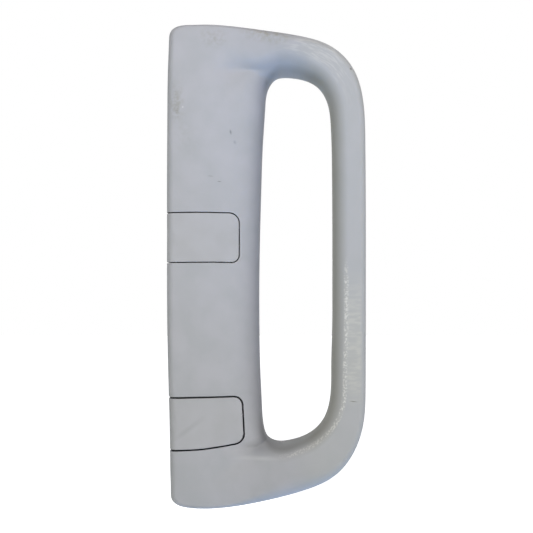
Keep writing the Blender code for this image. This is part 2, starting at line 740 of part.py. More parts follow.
def build():
    """Make every piece of the handle in its place."""
    clear_scene()
    parts = bpy.data.collections.new("grab_handle")
    cutters = bpy.data.collections.new("grab_handle_cutters")
    bpy.context.scene.collection.children.link(parts)
    bpy.context.scene.collection.children.link(cutters)

    places = {"upper": upper_place(), "lower": lower_place()}
    moulding = moulding_mesh("moulding", 0, STATIONS, OUTSIDE, False)
    body = make_handle_body(parts, cutters, places, moulding)
    paint(body, plain_material("grey_moulded_plastic", (0.45, 0.47, 0.50), 0.5, 0))
    for side, place in places.items():
        cover = make_cover(side, place, parts, cutters, moulding)
        paint(cover, plain_material(side + "_cover_plastic", (0.46, 0.48, 0.51), 0.5, 0))
        bush, washer, screw = make_fastening(side, place, parts, cutters)
        paint(bush, plain_material(side + "_bush_steel", (0.50, 0.50, 0.50), 0.4, 1))
        paint(washer, plain_material(side + "_washer_zinc", (0.60, 0.60, 0.58), 0.35, 1))
        paint(screw, plain_material(side + "_screw_zinc", (0.55, 0.53, 0.45), 0.35, 1))


build()
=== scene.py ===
# %% [markdown]
# # A grab handle for a cab pillar
#
# The real thing is one grey injection moulding. A broad, hollow leg is screwed to the pillar, and a
# round grip stands off it on two arms. Two small hinged covers hide the screws.
# The CAD frame that this script loads gives the bodies and the places of their hinges. Everything that
# is seen is made again here in the same places, finer, and put over that frame.

# %% Setup
import json
import math

import bmesh
import bpy
import numpy as np
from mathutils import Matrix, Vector


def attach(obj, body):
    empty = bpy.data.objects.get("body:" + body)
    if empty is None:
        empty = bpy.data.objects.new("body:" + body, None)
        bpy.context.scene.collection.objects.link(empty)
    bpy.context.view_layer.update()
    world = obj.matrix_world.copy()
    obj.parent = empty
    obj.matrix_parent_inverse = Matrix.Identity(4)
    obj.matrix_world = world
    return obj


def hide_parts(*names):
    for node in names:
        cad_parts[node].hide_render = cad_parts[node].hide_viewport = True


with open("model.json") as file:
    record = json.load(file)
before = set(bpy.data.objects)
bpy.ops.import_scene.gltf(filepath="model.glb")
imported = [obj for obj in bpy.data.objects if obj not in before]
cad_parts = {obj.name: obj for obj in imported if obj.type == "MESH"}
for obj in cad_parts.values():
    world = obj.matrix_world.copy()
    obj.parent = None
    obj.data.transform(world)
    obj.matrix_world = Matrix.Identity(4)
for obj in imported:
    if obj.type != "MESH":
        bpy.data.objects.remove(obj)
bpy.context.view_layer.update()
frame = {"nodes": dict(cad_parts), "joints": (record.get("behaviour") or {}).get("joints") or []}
MM = 0.001
print("CAD nodes:", ", ".join(sorted(frame["nodes"])))

# %% [markdown]
# ## Meshes from arrays
#
# Every shape below is an array of points with two directions: along a path, and round a profile.
# One helper turns such a grid into a mesh. It closes the grid where the path or the profile comes back
# to its start, and it closes an open end with a pole, which is a single point with a fan of triangles.
# Working on whole arrays keeps each shape a formula instead of a pile of edits.

# %% Grid to mesh
WELD = 0.001 * MM
SHARP = math.radians(38)


def grid_mesh(name, rows, path_closed=False, start=None, end=None):
    """A mesh from rows of closed profiles, shape (rows, points, 3).

    Each point is joined to the next one round its profile and to the same one in the next row.
    start and end are pole points that close the first and the last row.
    """
    count, around = rows.shape[:2]
    index = np.arange(count * around).reshape(count, around)
    here = index if path_closed else index[:-1]
    there = np.roll(index, -1, 0) if path_closed else index[1:]
    quads = np.stack([here, there, np.roll(there, -1, 1), np.roll(here, -1, 1)], -1).reshape(-1, 4)
    points = rows.reshape(-1, 3)
    fans = []
    for pole, ring in ((start, index[0]), (end, index[-1])):
        if pole is not None:
            tip = np.full_like(ring, len(points))
            points = np.vstack([points, pole])
            fans.append(np.stack([ring, np.roll(ring, -1), tip], -1))
    faces = quads.tolist() + [face for fan in fans for face in fan.tolist()]
    mesh = bpy.data.meshes.new(name)
    mesh.from_pydata(points.tolist(), [], faces)
    bm = bmesh.new()
    bm.from_mesh(mesh)
    bmesh.ops.remove_doubles(bm, verts=bm.verts, dist=WELD)
    bmesh.ops.recalc_face_normals(bm, faces=bm.faces)
    bm.to_mesh(mesh)
    bm.free()
    return mesh


def new_object(name, mesh):
    """An object at the origin that holds the mesh, shaded smooth except at real edges."""
    mesh.shade_smooth()
    mesh.set_sharp_from_angle(angle=SHARP)
    obj = bpy.data.objects.new(name, mesh)
    bpy.context.scene.collection.objects.link(obj)
    return obj


# %% [markdown]
# ## Cutting one solid out of another
#
# A steel tool leaves pockets and bores where its cores were. Blender's exact Boolean does the same to a
# mesh. The cuts are stacked as modifiers and then kept as a plain mesh, so that nothing stays live.

# %% Carving
def carve(obj, steps, overlaps=False):
    """Cut away or join solids one after another, then keep only the finished mesh.

    steps is a list of (operation, mesh). The solids of one mesh may overlap each other if overlaps is
    true.
    """
    tools = []
    for operation, mesh in steps:
        tool = new_object("tool", mesh)
        mod = obj.modifiers.new("carve", "BOOLEAN")
        mod.operation = operation
        mod.object = tool
        mod.solver = "EXACT"
        mod.use_self = overlaps
        tools.append(tool)
    bpy.context.view_layer.update()
    depsgraph = bpy.context.evaluated_depsgraph_get()
    mesh = bpy.data.meshes.new_from_object(obj.evaluated_get(depsgraph))
    obj.modifiers.clear()
    obj.data = mesh
    bm = bmesh.new()
    bm.from_mesh(mesh)
    bmesh.ops.remove_doubles(bm, verts=bm.verts, dist=2 * WELD)
    bm.to_mesh(mesh)
    bm.free()
    mesh.shade_smooth()
    mesh.set_sharp_from_angle(angle=SHARP)
    for tool in tools:
        bpy.data.objects.remove(tool, do_unlink=True)
    print("%s: %d faces" % (obj.name, len(mesh.polygons)))


# %% [markdown]
# ## The outline
#
# Seen from the front, the handle has two smooth outlines: the outside and the finger opening.
# A designer would lay a flexible batten through a few points. The periodic cubic spline is that
# batten's formula, and it needs only one small set of equations. A Bezier curve object would do too,
# but then its points could not be fed into the surface formula that follows.

# %% Outlines
OUTSIDE = [
    (-23.5, 59.7), (-23.5, 95.3), (-23.3, 130.8), (-22.9, 160.2), (-22.3, 176.2), (-21.1, 182.1),
    (-17.2, 184.8), (-10.1, 185.7), (0.0, 186.0), (13.9, 185.2), (33.9, 182.0), (57.5, 176.5),
    (77.2, 168.5), (89.1, 155.7), (95.0, 136.2), (96.2, 113.2), (96.5, 68.6), (96.5, 35.9),
    (96.5, 3.3), (96.4, -35.4), (95.3, -53.9), (90.2, -70.6), (78.0, -86.6), (58.1, -97.1),
    (30.0, -105.7), (14.1, -108.4), (0.0, -109.3), (-11.2, -108.6), (-17.7, -106.6), (-20.4, -104.0),
    (-21.2, -98.4), (-21.4, -89.4), (-21.7, -70.8), (-22.3, -44.1), (-23.0, -17.5), (-23.5, 24.1)]
OPENING = [
    (32.8, 25.3), (33.3, 59.6), (34.1, 89.2), (35.2, 118.9), (36.6, 140.2), (38.8, 152.1),
    (43.7, 157.4), (50.7, 157.1), (59.9, 153.6), (69.0, 147.3), (74.3, 138.2), (76.4, 124.7),
    (77.2, 93.8), (77.4, 59.6), (77.4, 25.3), (77.2, -2.0), (76.7, -20.5), (75.9, -41.6),
    (71.7, -54.5), (62.0, -64.3), (51.4, -69.6), (44.4, -71.0), (38.4, -68.6), (35.7, -62.0),
    (34.4, -47.0), (33.3, -22.6), (32.9, 0.2)]


def batten(points, count):
    """The closed cubic spline through the points, sampled evenly along its chords.

    Its slopes solve one linear equation for each point: twice the sum of the two neighbouring chords
    times the slope here, plus each neighbour's slope times the chord on the other side, equals three
    times the chord-weighted mean of the two divided differences.
    """
    p = np.array(points) * MM
    after = np.linalg.norm(np.roll(p, -1, 0) - p, axis=1)[:, None]
    before = np.roll(after, 1, 0)
    unit = np.eye(len(p))
    terms = 2 * (before + after) * unit + after * np.roll(unit, -1, 1) + before * np.roll(unit, 1, 1)
    steps = after / before * (p - np.roll(p, 1, 0)) + before / after * (np.roll(p, -1, 0) - p)
    slope = np.linalg.solve(terms, 3 * steps)
    knots = np.concatenate([[0], np.cumsum(after[:, 0])])
    at = np.linspace(0, knots[-1], count, endpoint=False)
    i = np.searchsorted(knots, at, side="right") - 1
    j = (i + 1) % len(p)
    h = after[i]
    t = (at - knots[i])[:, None] / h
    return ((2 * t**3 - 3 * t**2 + 1) * p[i] + (t**3 - 2 * t**2 + t) * h * slope[i]
            + (3 * t**2 - 2 * t**3) * p[j] + (t**3 - t**2) * h * slope[j])


outside = batten(OUTSIDE, 3000)
opening = batten(OPENING, 9000)
print("outline: %.1f x %.1f mm" % tuple(np.ptp(outside, axis=0) / MM))

# %% [markdown]
# ## The section round the loop
#
# Cut the handle across anywhere and the section is a rounded bar: a short rounded shoulder at the
# outside, a crowned face, a long roll towards the opening, and a rear that is flat on the leg and
# round on the grip. Four such sections, blended by where the cut is, give the whole moulding.
# Sculpting could get there too, but a blend of named radii keeps every line fair and can be mended
# by changing one number.

# %% Section sizes
# A pair is a rounded corner's reach along the cut and its depth. The crest is the face's highest line,
# as a distance from the outside, and the crown is how far the face has fallen CROWN_REACH from there.
# These are in millimetres.
LEG = {"shoulder": (4.5, 7), "roll": (22, 21), "back_out": (0.8, 0.8), "back_in": (0.8, 0.8),
       "crest": 22, "crown": 2.8}
TOP_ARM = {"shoulder": (6, 10), "roll": (11, 20), "back_out": (6, 6), "back_in": (6, 7),
           "crest": 8, "crown": 1}
BOTTOM_ARM = {"shoulder": (12, 12), "roll": (6.5, 13), "back_out": (6, 6), "back_in": (6, 7),
              "crest": 14, "crown": 1}
GRIP = {"shoulder": (4.5, 7), "roll": (9, 13), "back_out": (6.5, 8), "back_in": (6.5, 7),
        "crest": 8, "crown": 1}
CROWN_REACH, LEAST_CORNER, WALL = 35 * MM, 0.4 * MM, 2.8 * MM
HOLE_LEFT, HOLE_RIGHT, HOLE_TOP, HOLE_BOTTOM = 32.7 * MM, 76.8 * MM, 157.7 * MM, -70.5 * MM
LEG_LEFT, GRIP_RIGHT = -24.2 * MM, 96.5 * MM
LEG_DEPTH, GRIP_DEPTH, GRIP_STANDOFF = 34 * MM, 47 * MM, 22 * MM


def ramp(value, start, end):
    """Rise smoothly from 0 to 1: six t to the fifth, less fifteen t to the fourth, plus ten t cubed."""
    t = np.clip((value - start) / (end - start), 0, 1)
    return t**3 * (t * (6 * t - 15) + 10)


def front_depth(x):
    """How far the crest of the front stands out from the pillar."""
    return LEG_DEPTH + (GRIP_DEPTH - LEG_DEPTH) * ramp(x, 0.15 * HOLE_LEFT, HOLE_RIGHT + 3 * MM)


def rear_depth(x):
    """How far the rear stands off the pillar: not at all on the leg."""
    return GRIP_STANDOFF * ramp(x, HOLE_LEFT + 1 * MM, HOLE_RIGHT)


crest_depths = tuple(front_depth(x) / MM for x in (LEG_LEFT, GRIP_RIGHT))
print("crest: %.0f mm out on the leg, %.0f mm on the grip" % crest_depths)

# %% [markdown]
# ## Blending the four sections
#
# A toolmaker gives a section at a few places and lets the surface flow between them. Here each section
# has a share at every cut, and the shares add up to 1. At the outside the change goes with x alone. At
# the opening it is spread round the corners, so that the roll widens gently into the leg. The arms'
# inner slopes leave two creases where they run out into the leg's face. They are taken off the depth.

# %% Shares and creases
LEG_ENDS = HOLE_LEFT + 20 * MM
LEG_FADES, GRIP_RISES = (-30 * MM, 16 * MM), (-18 * MM, 24 * MM)
# A crease's line is level up to ARM_BEGINS and slopes from there. It has a reach to each side, and x
# ranges over which it begins and ends. These are in millimetres.
ARM_BEGINS, CREASE_ROUNDING = 36 * MM, 0.5 * MM
CREASES = (
    {"level": 158.2, "slope": -0.14, "leg_reach": 12, "arm_reach": 3.8, "depth": 4.8,
     "begin": (-2, 24), "end": (38, 64)},
    {"level": -71.2, "slope": 0.1, "leg_reach": 8, "arm_reach": 3.4, "depth": 3.0,
     "begin": (6, 28), "end": (36, 48)})


def outer_shares(at):
    """How much each section rules the outside of a cut."""
    x, z = at[:, 0], at[:, 1]
    leg = 1 - ramp(x, 0.1 * HOLE_LEFT, LEG_ENDS)
    grip = ramp(x, LEG_ENDS, GRIP_RIGHT - 2 * MM)
    arm = 1 - leg - grip
    top = arm * (z > 0)
    return ((LEG, leg), (TOP_ARM, top), (BOTTOM_ARM, arm - top), (GRIP, grip))


def inner_shares(at):
    """The same at the opening, where the change is spread along the opening's edge.

    The leg's share falls with the distance past a diagonal line at each of the opening's left corners,
    and the grip's rises with the distance past one at each right corner.
    """
    x, z = at[:, 0], at[:, 1]
    middle, half = (HOLE_TOP + HOLE_BOTTOM) / 2, (HOLE_TOP - HOLE_BOTTOM) / 2
    rise = np.abs(z - middle)
    past_leg = (x - HOLE_LEFT - 6 * MM + rise - half) / math.sqrt(2)
    past_arm = (x - HOLE_RIGHT - rise + half) / math.sqrt(2)
    half_way = (HOLE_LEFT + HOLE_RIGHT) / 2
    leg = (1 - ramp(past_leg, *LEG_FADES)) * (x < half_way + 6 * MM)
    grip = ramp(past_arm, *GRIP_RISES) * (x > half_way - 4 * MM)
    arm = 1 - leg - grip
    top = arm * (z > middle)
    return ((LEG, leg), (TOP_ARM, top), (BOTTOM_ARM, arm - top), (GRIP, grip))


def creases(x, z):
    """How deep the two creases are where an arm's inner slope runs out into the leg's face.

    A crease falls off exponentially to both sides of its line, and its depth fades along the line.
    """
    depth = 0
    for crease in CREASES:
        level, leg_reach, arm_reach, deepest = [
            crease[size] * MM for size in ("level", "leg_reach", "arm_reach", "depth")]
        begin, end = [[limit * MM for limit in crease[side]] for side in ("begin", "end")]
        line = level + crease["slope"] * np.maximum(x - ARM_BEGINS, 0)
        towards_arm = (z - line) * np.sign(level)
        reach = np.where(towards_arm > 0, arm_reach, leg_reach)
        away = np.hypot(towards_arm, CREASE_ROUNDING) - CREASE_ROUNDING
        depth = depth + deepest * ramp(x, *begin) * (1 - ramp(x, *end)) * np.exp(-away / reach)
    return depth


def mixed(shares, name, part=None):
    """One size of the section at each cut, blended from the four, as a column."""
    return sum((place[name] if part is None else place[name][part]) * MM * share
               for place, share in shares)[:, None]


print("creases: up to %s mm deep" % " and ".join(str(crease["depth"]) for crease in CREASES))

# %% [markdown]
# ## From sizes to points
#
# Each cut runs from a point of the outside to the nearest point of the opening, so it crosses the bar
# squarely even at the corners. Its section is laid out in two numbers, the distance along the cut and
# the depth from the pillar, and only then put in space. The small corners are quarter ellipses. The
# long roll is a slightly fuller superellipse, because a plain ellipse that long would end in a visible
# line where it meets the nearly flat face.

# %% Sections as points
# The powers of the corners' superellipses, the largest share of the width that both front corners may
# take together, the largest share of the depth that a rear corner may take, and how much length a full
# radian of bend counts for when cuts are spaced.
ROUND, FULLER = 2.0, 2.15
CORNERS_TAKE, BACK_TAKES = 0.94, 0.85
BEND_REACH = 14 * MM


def corner_run(count, power):
    """A quarter of a superellipse from the wall (1, 0) to the face (0, 1)."""
    angle = np.linspace(0, math.pi / 2, count)
    return np.cos(angle) ** (2 / power), np.sin(angle) ** (2 / power)


def sections(outer, inner, inset, shoulder_steps, face_steps, roll_steps, back_steps):
    """Closed sections as rows of points: up the wall, over the shoulder, across, and down the roll.

    A point is the outer point plus the distance along the cut, and its depth is the front's depth less
    the drop of the rounded corner and less the crown, which grows with the square of the distance from
    the crest. An inset moves all sides but the rear inwards and carries the walls on through the rear.
    """
    across = inner - outer
    span = np.linalg.norm(across, axis=1)[:, None]
    ray = across / span
    at_outer, at_inner = outer_shares(outer), inner_shares(inner)
    width = span - 2 * inset
    shoulder_in, shoulder_down, roll_in, roll_down = [
        np.maximum(mixed(shares, name, k) - inset, LEAST_CORNER)
        for shares, name in ((at_outer, "shoulder"), (at_inner, "roll")) for k in (0, 1)]
    squeeze = np.minimum(1, CORNERS_TAKE * width / (shoulder_in + roll_in))
    shoulder_in, roll_in = shoulder_in * squeeze, roll_in * squeeze

    out, up = corner_run(shoulder_steps, ROUND)
    t = np.linspace(0, 1, face_steps + 1)[1:]
    roll_out, roll_up = [values[::-1][1:] for values in corner_run(roll_steps, FULLER)]
    distance = np.hstack([shoulder_in * (1 - out), shoulder_in + (width - roll_in - shoulder_in) * t,
                          width - roll_in * (1 - roll_out)]) + inset
    drop = np.hstack([shoulder_down * (1 - up), np.zeros_like(width * t), roll_down * (1 - roll_up)])
    bow = mixed(at_outer, "crown") * ((distance - mixed(at_outer, "crest")) / CROWN_REACH) ** 2
    x, z = outer[:, :1] + ray[:, :1] * distance, outer[:, 1:] + ray[:, 1:] * distance
    depth = front_depth(x) - inset - drop - bow - creases(x, z)

    if inset > 0:
        rear_distance = np.hstack([width + inset, np.full_like(width, inset)])
        rear = np.full_like(rear_distance, -WALL)
    else:
        in_in, out_in = mixed(at_inner, "back_in", 0), mixed(at_outer, "back_out", 0)
        room_in = depth[:, -1:] - rear_depth(inner[:, :1])
        room_out = depth[:, :1] - rear_depth(outer[:, :1])
        in_up = np.minimum(mixed(at_inner, "back_in", 1), BACK_TAKES * room_in)
        out_up = np.minimum(mixed(at_outer, "back_out", 1), BACK_TAKES * room_out)
        out, up = corner_run(back_steps, ROUND)
        rear_distance = np.hstack([width - in_in * (1 - out), out_in * (1 - out[::-1])])
        lift = np.hstack([in_up * (1 - up), out_up * (1 - up[::-1])])
        rear = rear_depth(outer[:, :1] + ray[:, :1] * rear_distance) + lift
    distance, depth = np.hstack([distance, rear_distance]), np.hstack([depth, rear])
    return np.stack([outer[:, :1] + ray[:, :1] * distance, -depth, outer[:, 1:] + ray[:, 1:] * distance], 2)


def nearest_on(outline, points):
    """The point of a finely sampled outline that lies nearest to each given point."""
    gaps = np.linalg.norm(points[:, None, :] - outline[None, :, :], axis=2)
    return outline[np.argmin(gaps, axis=1)]


def spread_by_bend(outline, count):
    """Points along an outline, closer together where it bends.

    They are even steps of the length travelled plus a reach times the angle turned.
    """
    step = np.roll(outline, -1, 0) - outline
    heading = np.arctan2(step[:, 1], step[:, 0])
    turn = np.abs((np.roll(heading, -1) - heading + math.pi) % (2 * math.pi) - math.pi)
    travel = np.concatenate([[0], np.cumsum(np.linalg.norm(step, axis=1) + BEND_REACH * turn)])
    at = np.linspace(0, travel[-1], count, endpoint=False)
    i = np.minimum(np.searchsorted(travel, at, side="right") - 1, len(outline) - 1)
    t = ((at - travel[i]) / (travel[i + 1] - travel[i]))[:, None]
    return outline[i] * (1 - t) + outline[(i + 1) % len(outline)] * t


# %% [markdown]
# ## The moulding
#
# The cuts are laid round the whole outline and joined into one closed loop. They stand closer together
# where the outline bends, so that the corners come out as smooth as the straight stretches. Evenly
# spaced cuts would do as well, but there would have to be many more of them.

# %% Moulding
# How many points the shoulder, the face, the roll and each rear corner have.
MOULDING_STEPS = (12, 14, 26, 8)
stations = spread_by_bend(outside, 420)
moulding_rows = sections(stations, nearest_on(opening, stations), 0, *MOULDING_STEPS)
moulding = new_object("grained_moulding", grid_mesh("grained_moulding", moulding_rows, path_closed=True))
print("moulding: %d cuts of %d points" % moulding_rows.shape[:2])

# %% [markdown]
# ## The leg's skin as a sheet
#
# The two pockets and their covers follow the leg's surface round its left edge. They are drawn on the
# skin as if its left side were unrolled: one direction is the distance over the surface up to the
# shoulder and x from there on, the other is the height. A table of the leg's sections answers where a
# point of that sheet lies in space. Cutting straight through with a block would be quicker, but then
# the seam could not have the small rounded lips that a moulding has.

# %% Unrolled skin
SHEET_Z = np.linspace(-90, 90, 361) * MM
SHEET_STEPS = (30, 70, 40)
# The first points go straight up the wall, so x can't tell them apart and they are left out of a search.
UP_THE_WALL = 8
SHOULDER_X = LEG_LEFT + 12 * MM
side = outside[outside[:, 0] < LEG_LEFT + 5 * MM]
side = side[np.argsort(side[:, 1])]


def left_edge(z):
    """Where the outline's left side lies at a height."""
    return np.interp(z, side[:, 1], side[:, 0])


def at_even_heights(columns, axis):
    """One coordinate of each column of the sheet, read at the sheet's heights."""
    return np.stack([np.interp(SHEET_Z, column[:, 2], column[:, axis]) for column in columns], 1)


edge = np.stack([left_edge(SHEET_Z), SHEET_Z], 1)
sheet = sections(edge, nearest_on(opening, edge), 0, *SHEET_STEPS, 3)
sheet = np.concatenate([sheet[:, -1:], sheet[:, :sum(SHEET_STEPS) - 2]], 1).transpose(1, 0, 2)
sheet_x, sheet_y = at_even_heights(sheet, 0), at_even_heights(sheet, 1)
travel = np.cumsum(np.hypot(np.diff(sheet_x, axis=1), np.diff(sheet_y, axis=1)), axis=1)
sheet_run = np.hstack([-sheet_y[:, :1], travel - sheet_y[:, :1]])
shoulder_run = np.array([[np.interp(SHOULDER_X, x[UP_THE_WALL:], run[UP_THE_WALL:])]
                         for x, run in zip(sheet_x, sheet_run)])
sheet_u = np.where(sheet_run > shoulder_run, sheet_x, sheet_run - shoulder_run + SHOULDER_X)


def read_sheet(key, value, z):
    """Points of the skin at a given height where a key column has a given value.

    They are read between the two nearest sections.
    """
    row = np.clip((z - SHEET_Z[0]) / (SHEET_Z[1] - SHEET_Z[0]), 0, len(SHEET_Z) - 1.001)
    low = row.astype(int)
    share = (row - low)[:, None]
    found = 0
    for i, weight in ((low, 1 - share), (low + 1, share)):
        j = np.clip((key[i] <= value[:, None]).sum(1) - 1, 0, key.shape[1] - 2)
        t = (value - key[i, j]) / np.maximum(key[i, j + 1] - key[i, j], 1e-9)
        x = sheet_x[i, j] + t * (sheet_x[i, j + 1] - sheet_x[i, j])
        y = sheet_y[i, j] + t * (sheet_y[i, j + 1] - sheet_y[i, j])
        found = found + weight * np.stack([x, y], 1)
    return np.column_stack([found, z])


def above_skin(u, z, height):
    """Points at a height above the skin, or below it for a negative height.

    The height runs along the skin's normal round the left shoulder. Right of it, it runs straight to
    the front, which is the way the steel tool draws, so that every wall there is upright.
    """
    small = 0.4 * MM
    along = read_sheet(sheet_u, u + small, z) - read_sheet(sheet_u, u - small, z)
    way = np.stack([np.minimum(along[:, 1], 0), -along[:, 0], 0 * z], 1)
    way /= np.linalg.norm(way, axis=1)[:, None]
    return read_sheet(sheet_u, u, z) + way * np.reshape(height, (-1, 1))


def u_at(run, z):
    """The sheet's coordinate at a distance over the skin from the pillar's plane, on the left wall."""
    return run + SHOULDER_X - float(np.interp(z, SHEET_Z, shoulder_run[:, 0]))


print("the left wall starts at u = %.1f mm" % (u_at(0, 0) / MM))

# %% [markdown]
# ## Pockets and covers
#
# Each cover is a thin plate with rounded rims, and its pocket has the same outline with a rounded lip.
# Both are one profile carried round a closed outline on the unrolled skin. The profile is a list of
# (how far outside the outline, how high above the skin). The cover's profile runs from its middle over
# the rim to the underside, and the pocket's is that of the air that is taken away.

# %% Outlines on the skin
SCREW_HEIGHT = 56.5 * MM
LIP, COVER_THICK, UNDER_COVER = 0.35 * MM, 2.5 * MM, 0.4 * MM
SLOT_BRIDGE, COVER_START, LEFT_CORNER = 2.1 * MM, 5.2 * MM, 1.6 * MM
LEFT_OF_ALL = LEG_LEFT - 6 * MM
# low and high are the outline's levels at the left edge, from the screw. A corner is (x, height above
# low, radius) in millimetres, and where its radius is over 100 mm it only bends the side.
UPPER = {"side": "upper", "screw": SCREW_HEIGHT, "low": -16.1 * MM, "high": 14.5 * MM,
         "seam": 0.6 * MM, "catch": 20.9 * MM,
         "corners": [(-3, 0.3, 400), (21.2, 0.1, 5), (21.2, 30.6, 6.5), (-3, 31.1, 400)]}
LOWER = {"side": "lower", "screw": -SCREW_HEIGHT, "low": -18.0 * MM, "high": 15.2 * MM,
         "seam": 0.95 * MM, "catch": 23.43 * MM,
         "corners": [(-2.7, 1.8, 120), (24.6, 5.9, 7), (23.1, 35.0, 6)]}
places = (UPPER, LOWER)
for place in places:
    place["node"] = place["side"] + "_cover"
    place["hinge"] = [joint["pos_m"] for joint in frame["joints"] if joint["child"] == place["node"]][0]
print("hinge axes at x =", ["%.2f mm" % (place["hinge"][0] / MM) for place in places])


def rounded_outline(corners, count):
    """A closed outline with round corners, as even points and their outward normals.

    A corner (run, z, radius) becomes an arc that touches both of its sides.
    """
    points = []
    for i, (run, z, radius) in enumerate(corners):
        here = np.array((run, z))
        before = here - np.array(corners[i - 1][:2])
        after = np.array(corners[(i + 1) % len(corners)][:2]) - here
        out = [np.array((d[1], -d[0])) / np.linalg.norm(d) for d in (before, after)]
        turn = math.acos(float(np.clip(out[0] @ out[1], -1, 1)))
        bisector = (out[0] + out[1]) / np.linalg.norm(out[0] + out[1])
        centre = here - bisector * radius / math.cos(turn / 2)
        angle = math.atan2(out[0][1], out[0][0]) + turn * np.linspace(0, 1, 24)
        points.append(centre + radius * np.stack([np.cos(angle), np.sin(angle)], 1))
    points = np.vstack(points)
    length = np.concatenate([[0], np.cumsum(np.linalg.norm(np.roll(points, -1, 0) - points, axis=1))])
    at = np.linspace(0, length[-1], count, endpoint=False)
    closed = np.vstack([points, points[:1]])
    even = np.stack([np.interp(at, length, closed[:, k]) for k in (0, 1)], 1)
    tangent = np.roll(even, -1, 0) - np.roll(even, 1, 0)
    normal = np.stack([tangent[:, 1], -tangent[:, 0]], 1)
    return even, normal / np.linalg.norm(normal, axis=1)[:, None]


def levels(place):
    """The lowest and the highest level of a pocket at the left edge."""
    return place["screw"] + place["low"], place["screw"] + place["high"]


def pocket_outline(place, low_start, high_start, radius, count):
    """A pocket's outline from two starts at the left, round the corners on its right."""
    low, high = levels(place)
    corners = [(x * MM, low + z * MM, r * MM) for x, z, r in place["corners"]]
    return rounded_outline([(low_start, low, radius), *corners, (high_start, high, radius)], count)


def outline_on_skin(place, first_run):
    """The outline of a pocket or cover on the unrolled skin, from a start on the left wall."""
    low, high = levels(place)
    return pocket_outline(place, u_at(first_run, low), u_at(first_run, high), LEFT_CORNER, 420)


def outline_in_front(place, count):
    """The pocket's outline as seen from the front, run out past the leg's left edge."""
    return pocket_outline(place, LEFT_OF_ALL, LEFT_OF_ALL, 0, count)


# %% Profiles carried round
FRACTIONS = list(np.linspace(0.08, 0.96, 12))


def carried_round(name, outline, profile):
    """A closed solid: a profile of (outwards, height) carried round an outline on the skin.

    Each row is the outline moved outwards by the profile, lifted along the skin's normal. The rows at
    the fractions between the middle and the rim make the face follow the skin's curve.
    """
    points, normals = outline
    middle = points.mean(0)
    top, bottom = profile[0], profile[-1]
    inward = [middle + f * (points + normals * top[0] - middle) for f in FRACTIONS]
    rim = [points + normals * out for out, _ in profile]
    back = [middle + f * (points + normals * bottom[0] - middle) for f in FRACTIONS[::-1]]
    rings = inward + rim + back
    heights = [top[1]] * len(inward) + [height for _, height in profile] + [bottom[1]] * len(back)
    rows = np.stack([above_skin(ring[:, 0], ring[:, 1], np.full(len(ring), height))
                     for ring, height in zip(rings, heights)])
    poles = [above_skin(middle[:1], middle[1:], [height])[0] for height in (heights[0], heights[-1])]
    return grid_mesh(name, rows, start=poles[0], end=poles[1])


def cover_profile(place):
    """From the face over a rounded rim, down the edge, and under."""
    rim = [(-place["seam"] - LIP * (1 - math.sin(a)), -LIP * (1 - math.cos(a)))
           for a in np.linspace(0, math.pi / 2, 6)]
    return rim + [(-place["seam"], -COVER_THICK + LIP), (-place["seam"] - LIP, -COVER_THICK)]


def pocket_profile():
    """From well above the skin down over the rounded lip to just below the cover.

    The lip's arc starts 17 degrees in and runs on straight above the skin, so that it crosses the skin
    at a clear angle.
    """
    start, above = 0.3, 1.5 * MM
    lip = [(LIP * (1 - math.sin(a)), -LIP * (1 - math.cos(a))) for a in np.linspace(start, math.pi / 2, 6)]
    beyond = (lip[0][0] + LIP * math.cos(start), lip[0][1] + LIP * math.sin(start))
    return [(beyond[0], above), beyond] + lip + [(0, -COVER_THICK - UNDER_COVER)]


print("profiles: cover %d, pocket %d points" % (len(cover_profile(UPPER)), len(pocket_profile())))

# %% [markdown]
# ## The hollow behind the leg
#
# A thick lump of plastic would sink and warp as it cools, so such a moulding has walls of two or three
# millimetres with ribs behind. The hollow is the same surface formula moved inwards by the wall.
# From it the ribs, the trays behind the pockets and the towers round the screws are kept, and what is
# left is taken out of the moulding. Building every rib wall by hand would take far more faces.

# %% Plain solids
def box_rows(low, high):
    """A box as two square profiles."""
    (x0, y0, z0), (x1, y1, z1) = low, high
    ring = np.array([(x0, y0), (x1, y0), (x1, y1), (x0, y1)])
    return np.stack([np.column_stack([ring, np.full(4, z)]) for z in (z0, z1)])


def joined(name, meshes):
    """Several meshes in one."""
    bm = bmesh.new()
    for mesh in meshes:
        bm.from_mesh(mesh)
    whole = bpy.data.meshes.new(name)
    bm.to_mesh(whole)
    bm.free()
    return whole


def capped(name, rows):
    """A grid whose two end profiles are closed with flat triangles."""
    return grid_mesh(name, rows, start=rows[0].mean(0), end=rows[-1].mean(0))


def turned(name, profile, x, y, z, axis, count=64, closed=False):
    """A profile of (radius, distance along the axis) turned about an axis through a point."""
    angle = np.linspace(0, 2 * math.pi, count, endpoint=False)
    radius, along = np.array(profile).T
    a, b = radius[:, None] * np.cos(angle), radius[:, None] * np.sin(angle)
    c = along[:, None] + 0 * a
    rows = np.stack([a + x, y - c, b + z] if axis == "front" else [a + x, b + y, c + z], 2)
    return grid_mesh(name, rows, path_closed=closed)


def rod(radius, low, high):
    """The profile of a plain rod with flat ends."""
    return [(0, low), (radius, low), (radius, high), (0, high)]


# %% Ribs, trays and towers
POCKET_FLOOR, FLOOR_THICK, RIB, RIB_SPACING, TRAY_REACH = 16 * MM, 3 * MM, 2.2 * MM, 27 * MM, 22 * MM
BUSH_RADIUS, CLEAR, SHANK_RADIUS, TOWER_WALL = 6 * MM, 0.3 * MM, 4 * MM, 3 * MM
PAST_FRONT, PAST_REAR = 60 * MM, -5 * MM
BARREL, PIN, SLOT_ROOM, RIB_SHORT = 2.0 * MM, 1.2 * MM, 1.2 * MM, 1.5 * MM
HOLLOW_CUTS, HOLLOW_STEPS = 200, (8, 8, 14, 0)


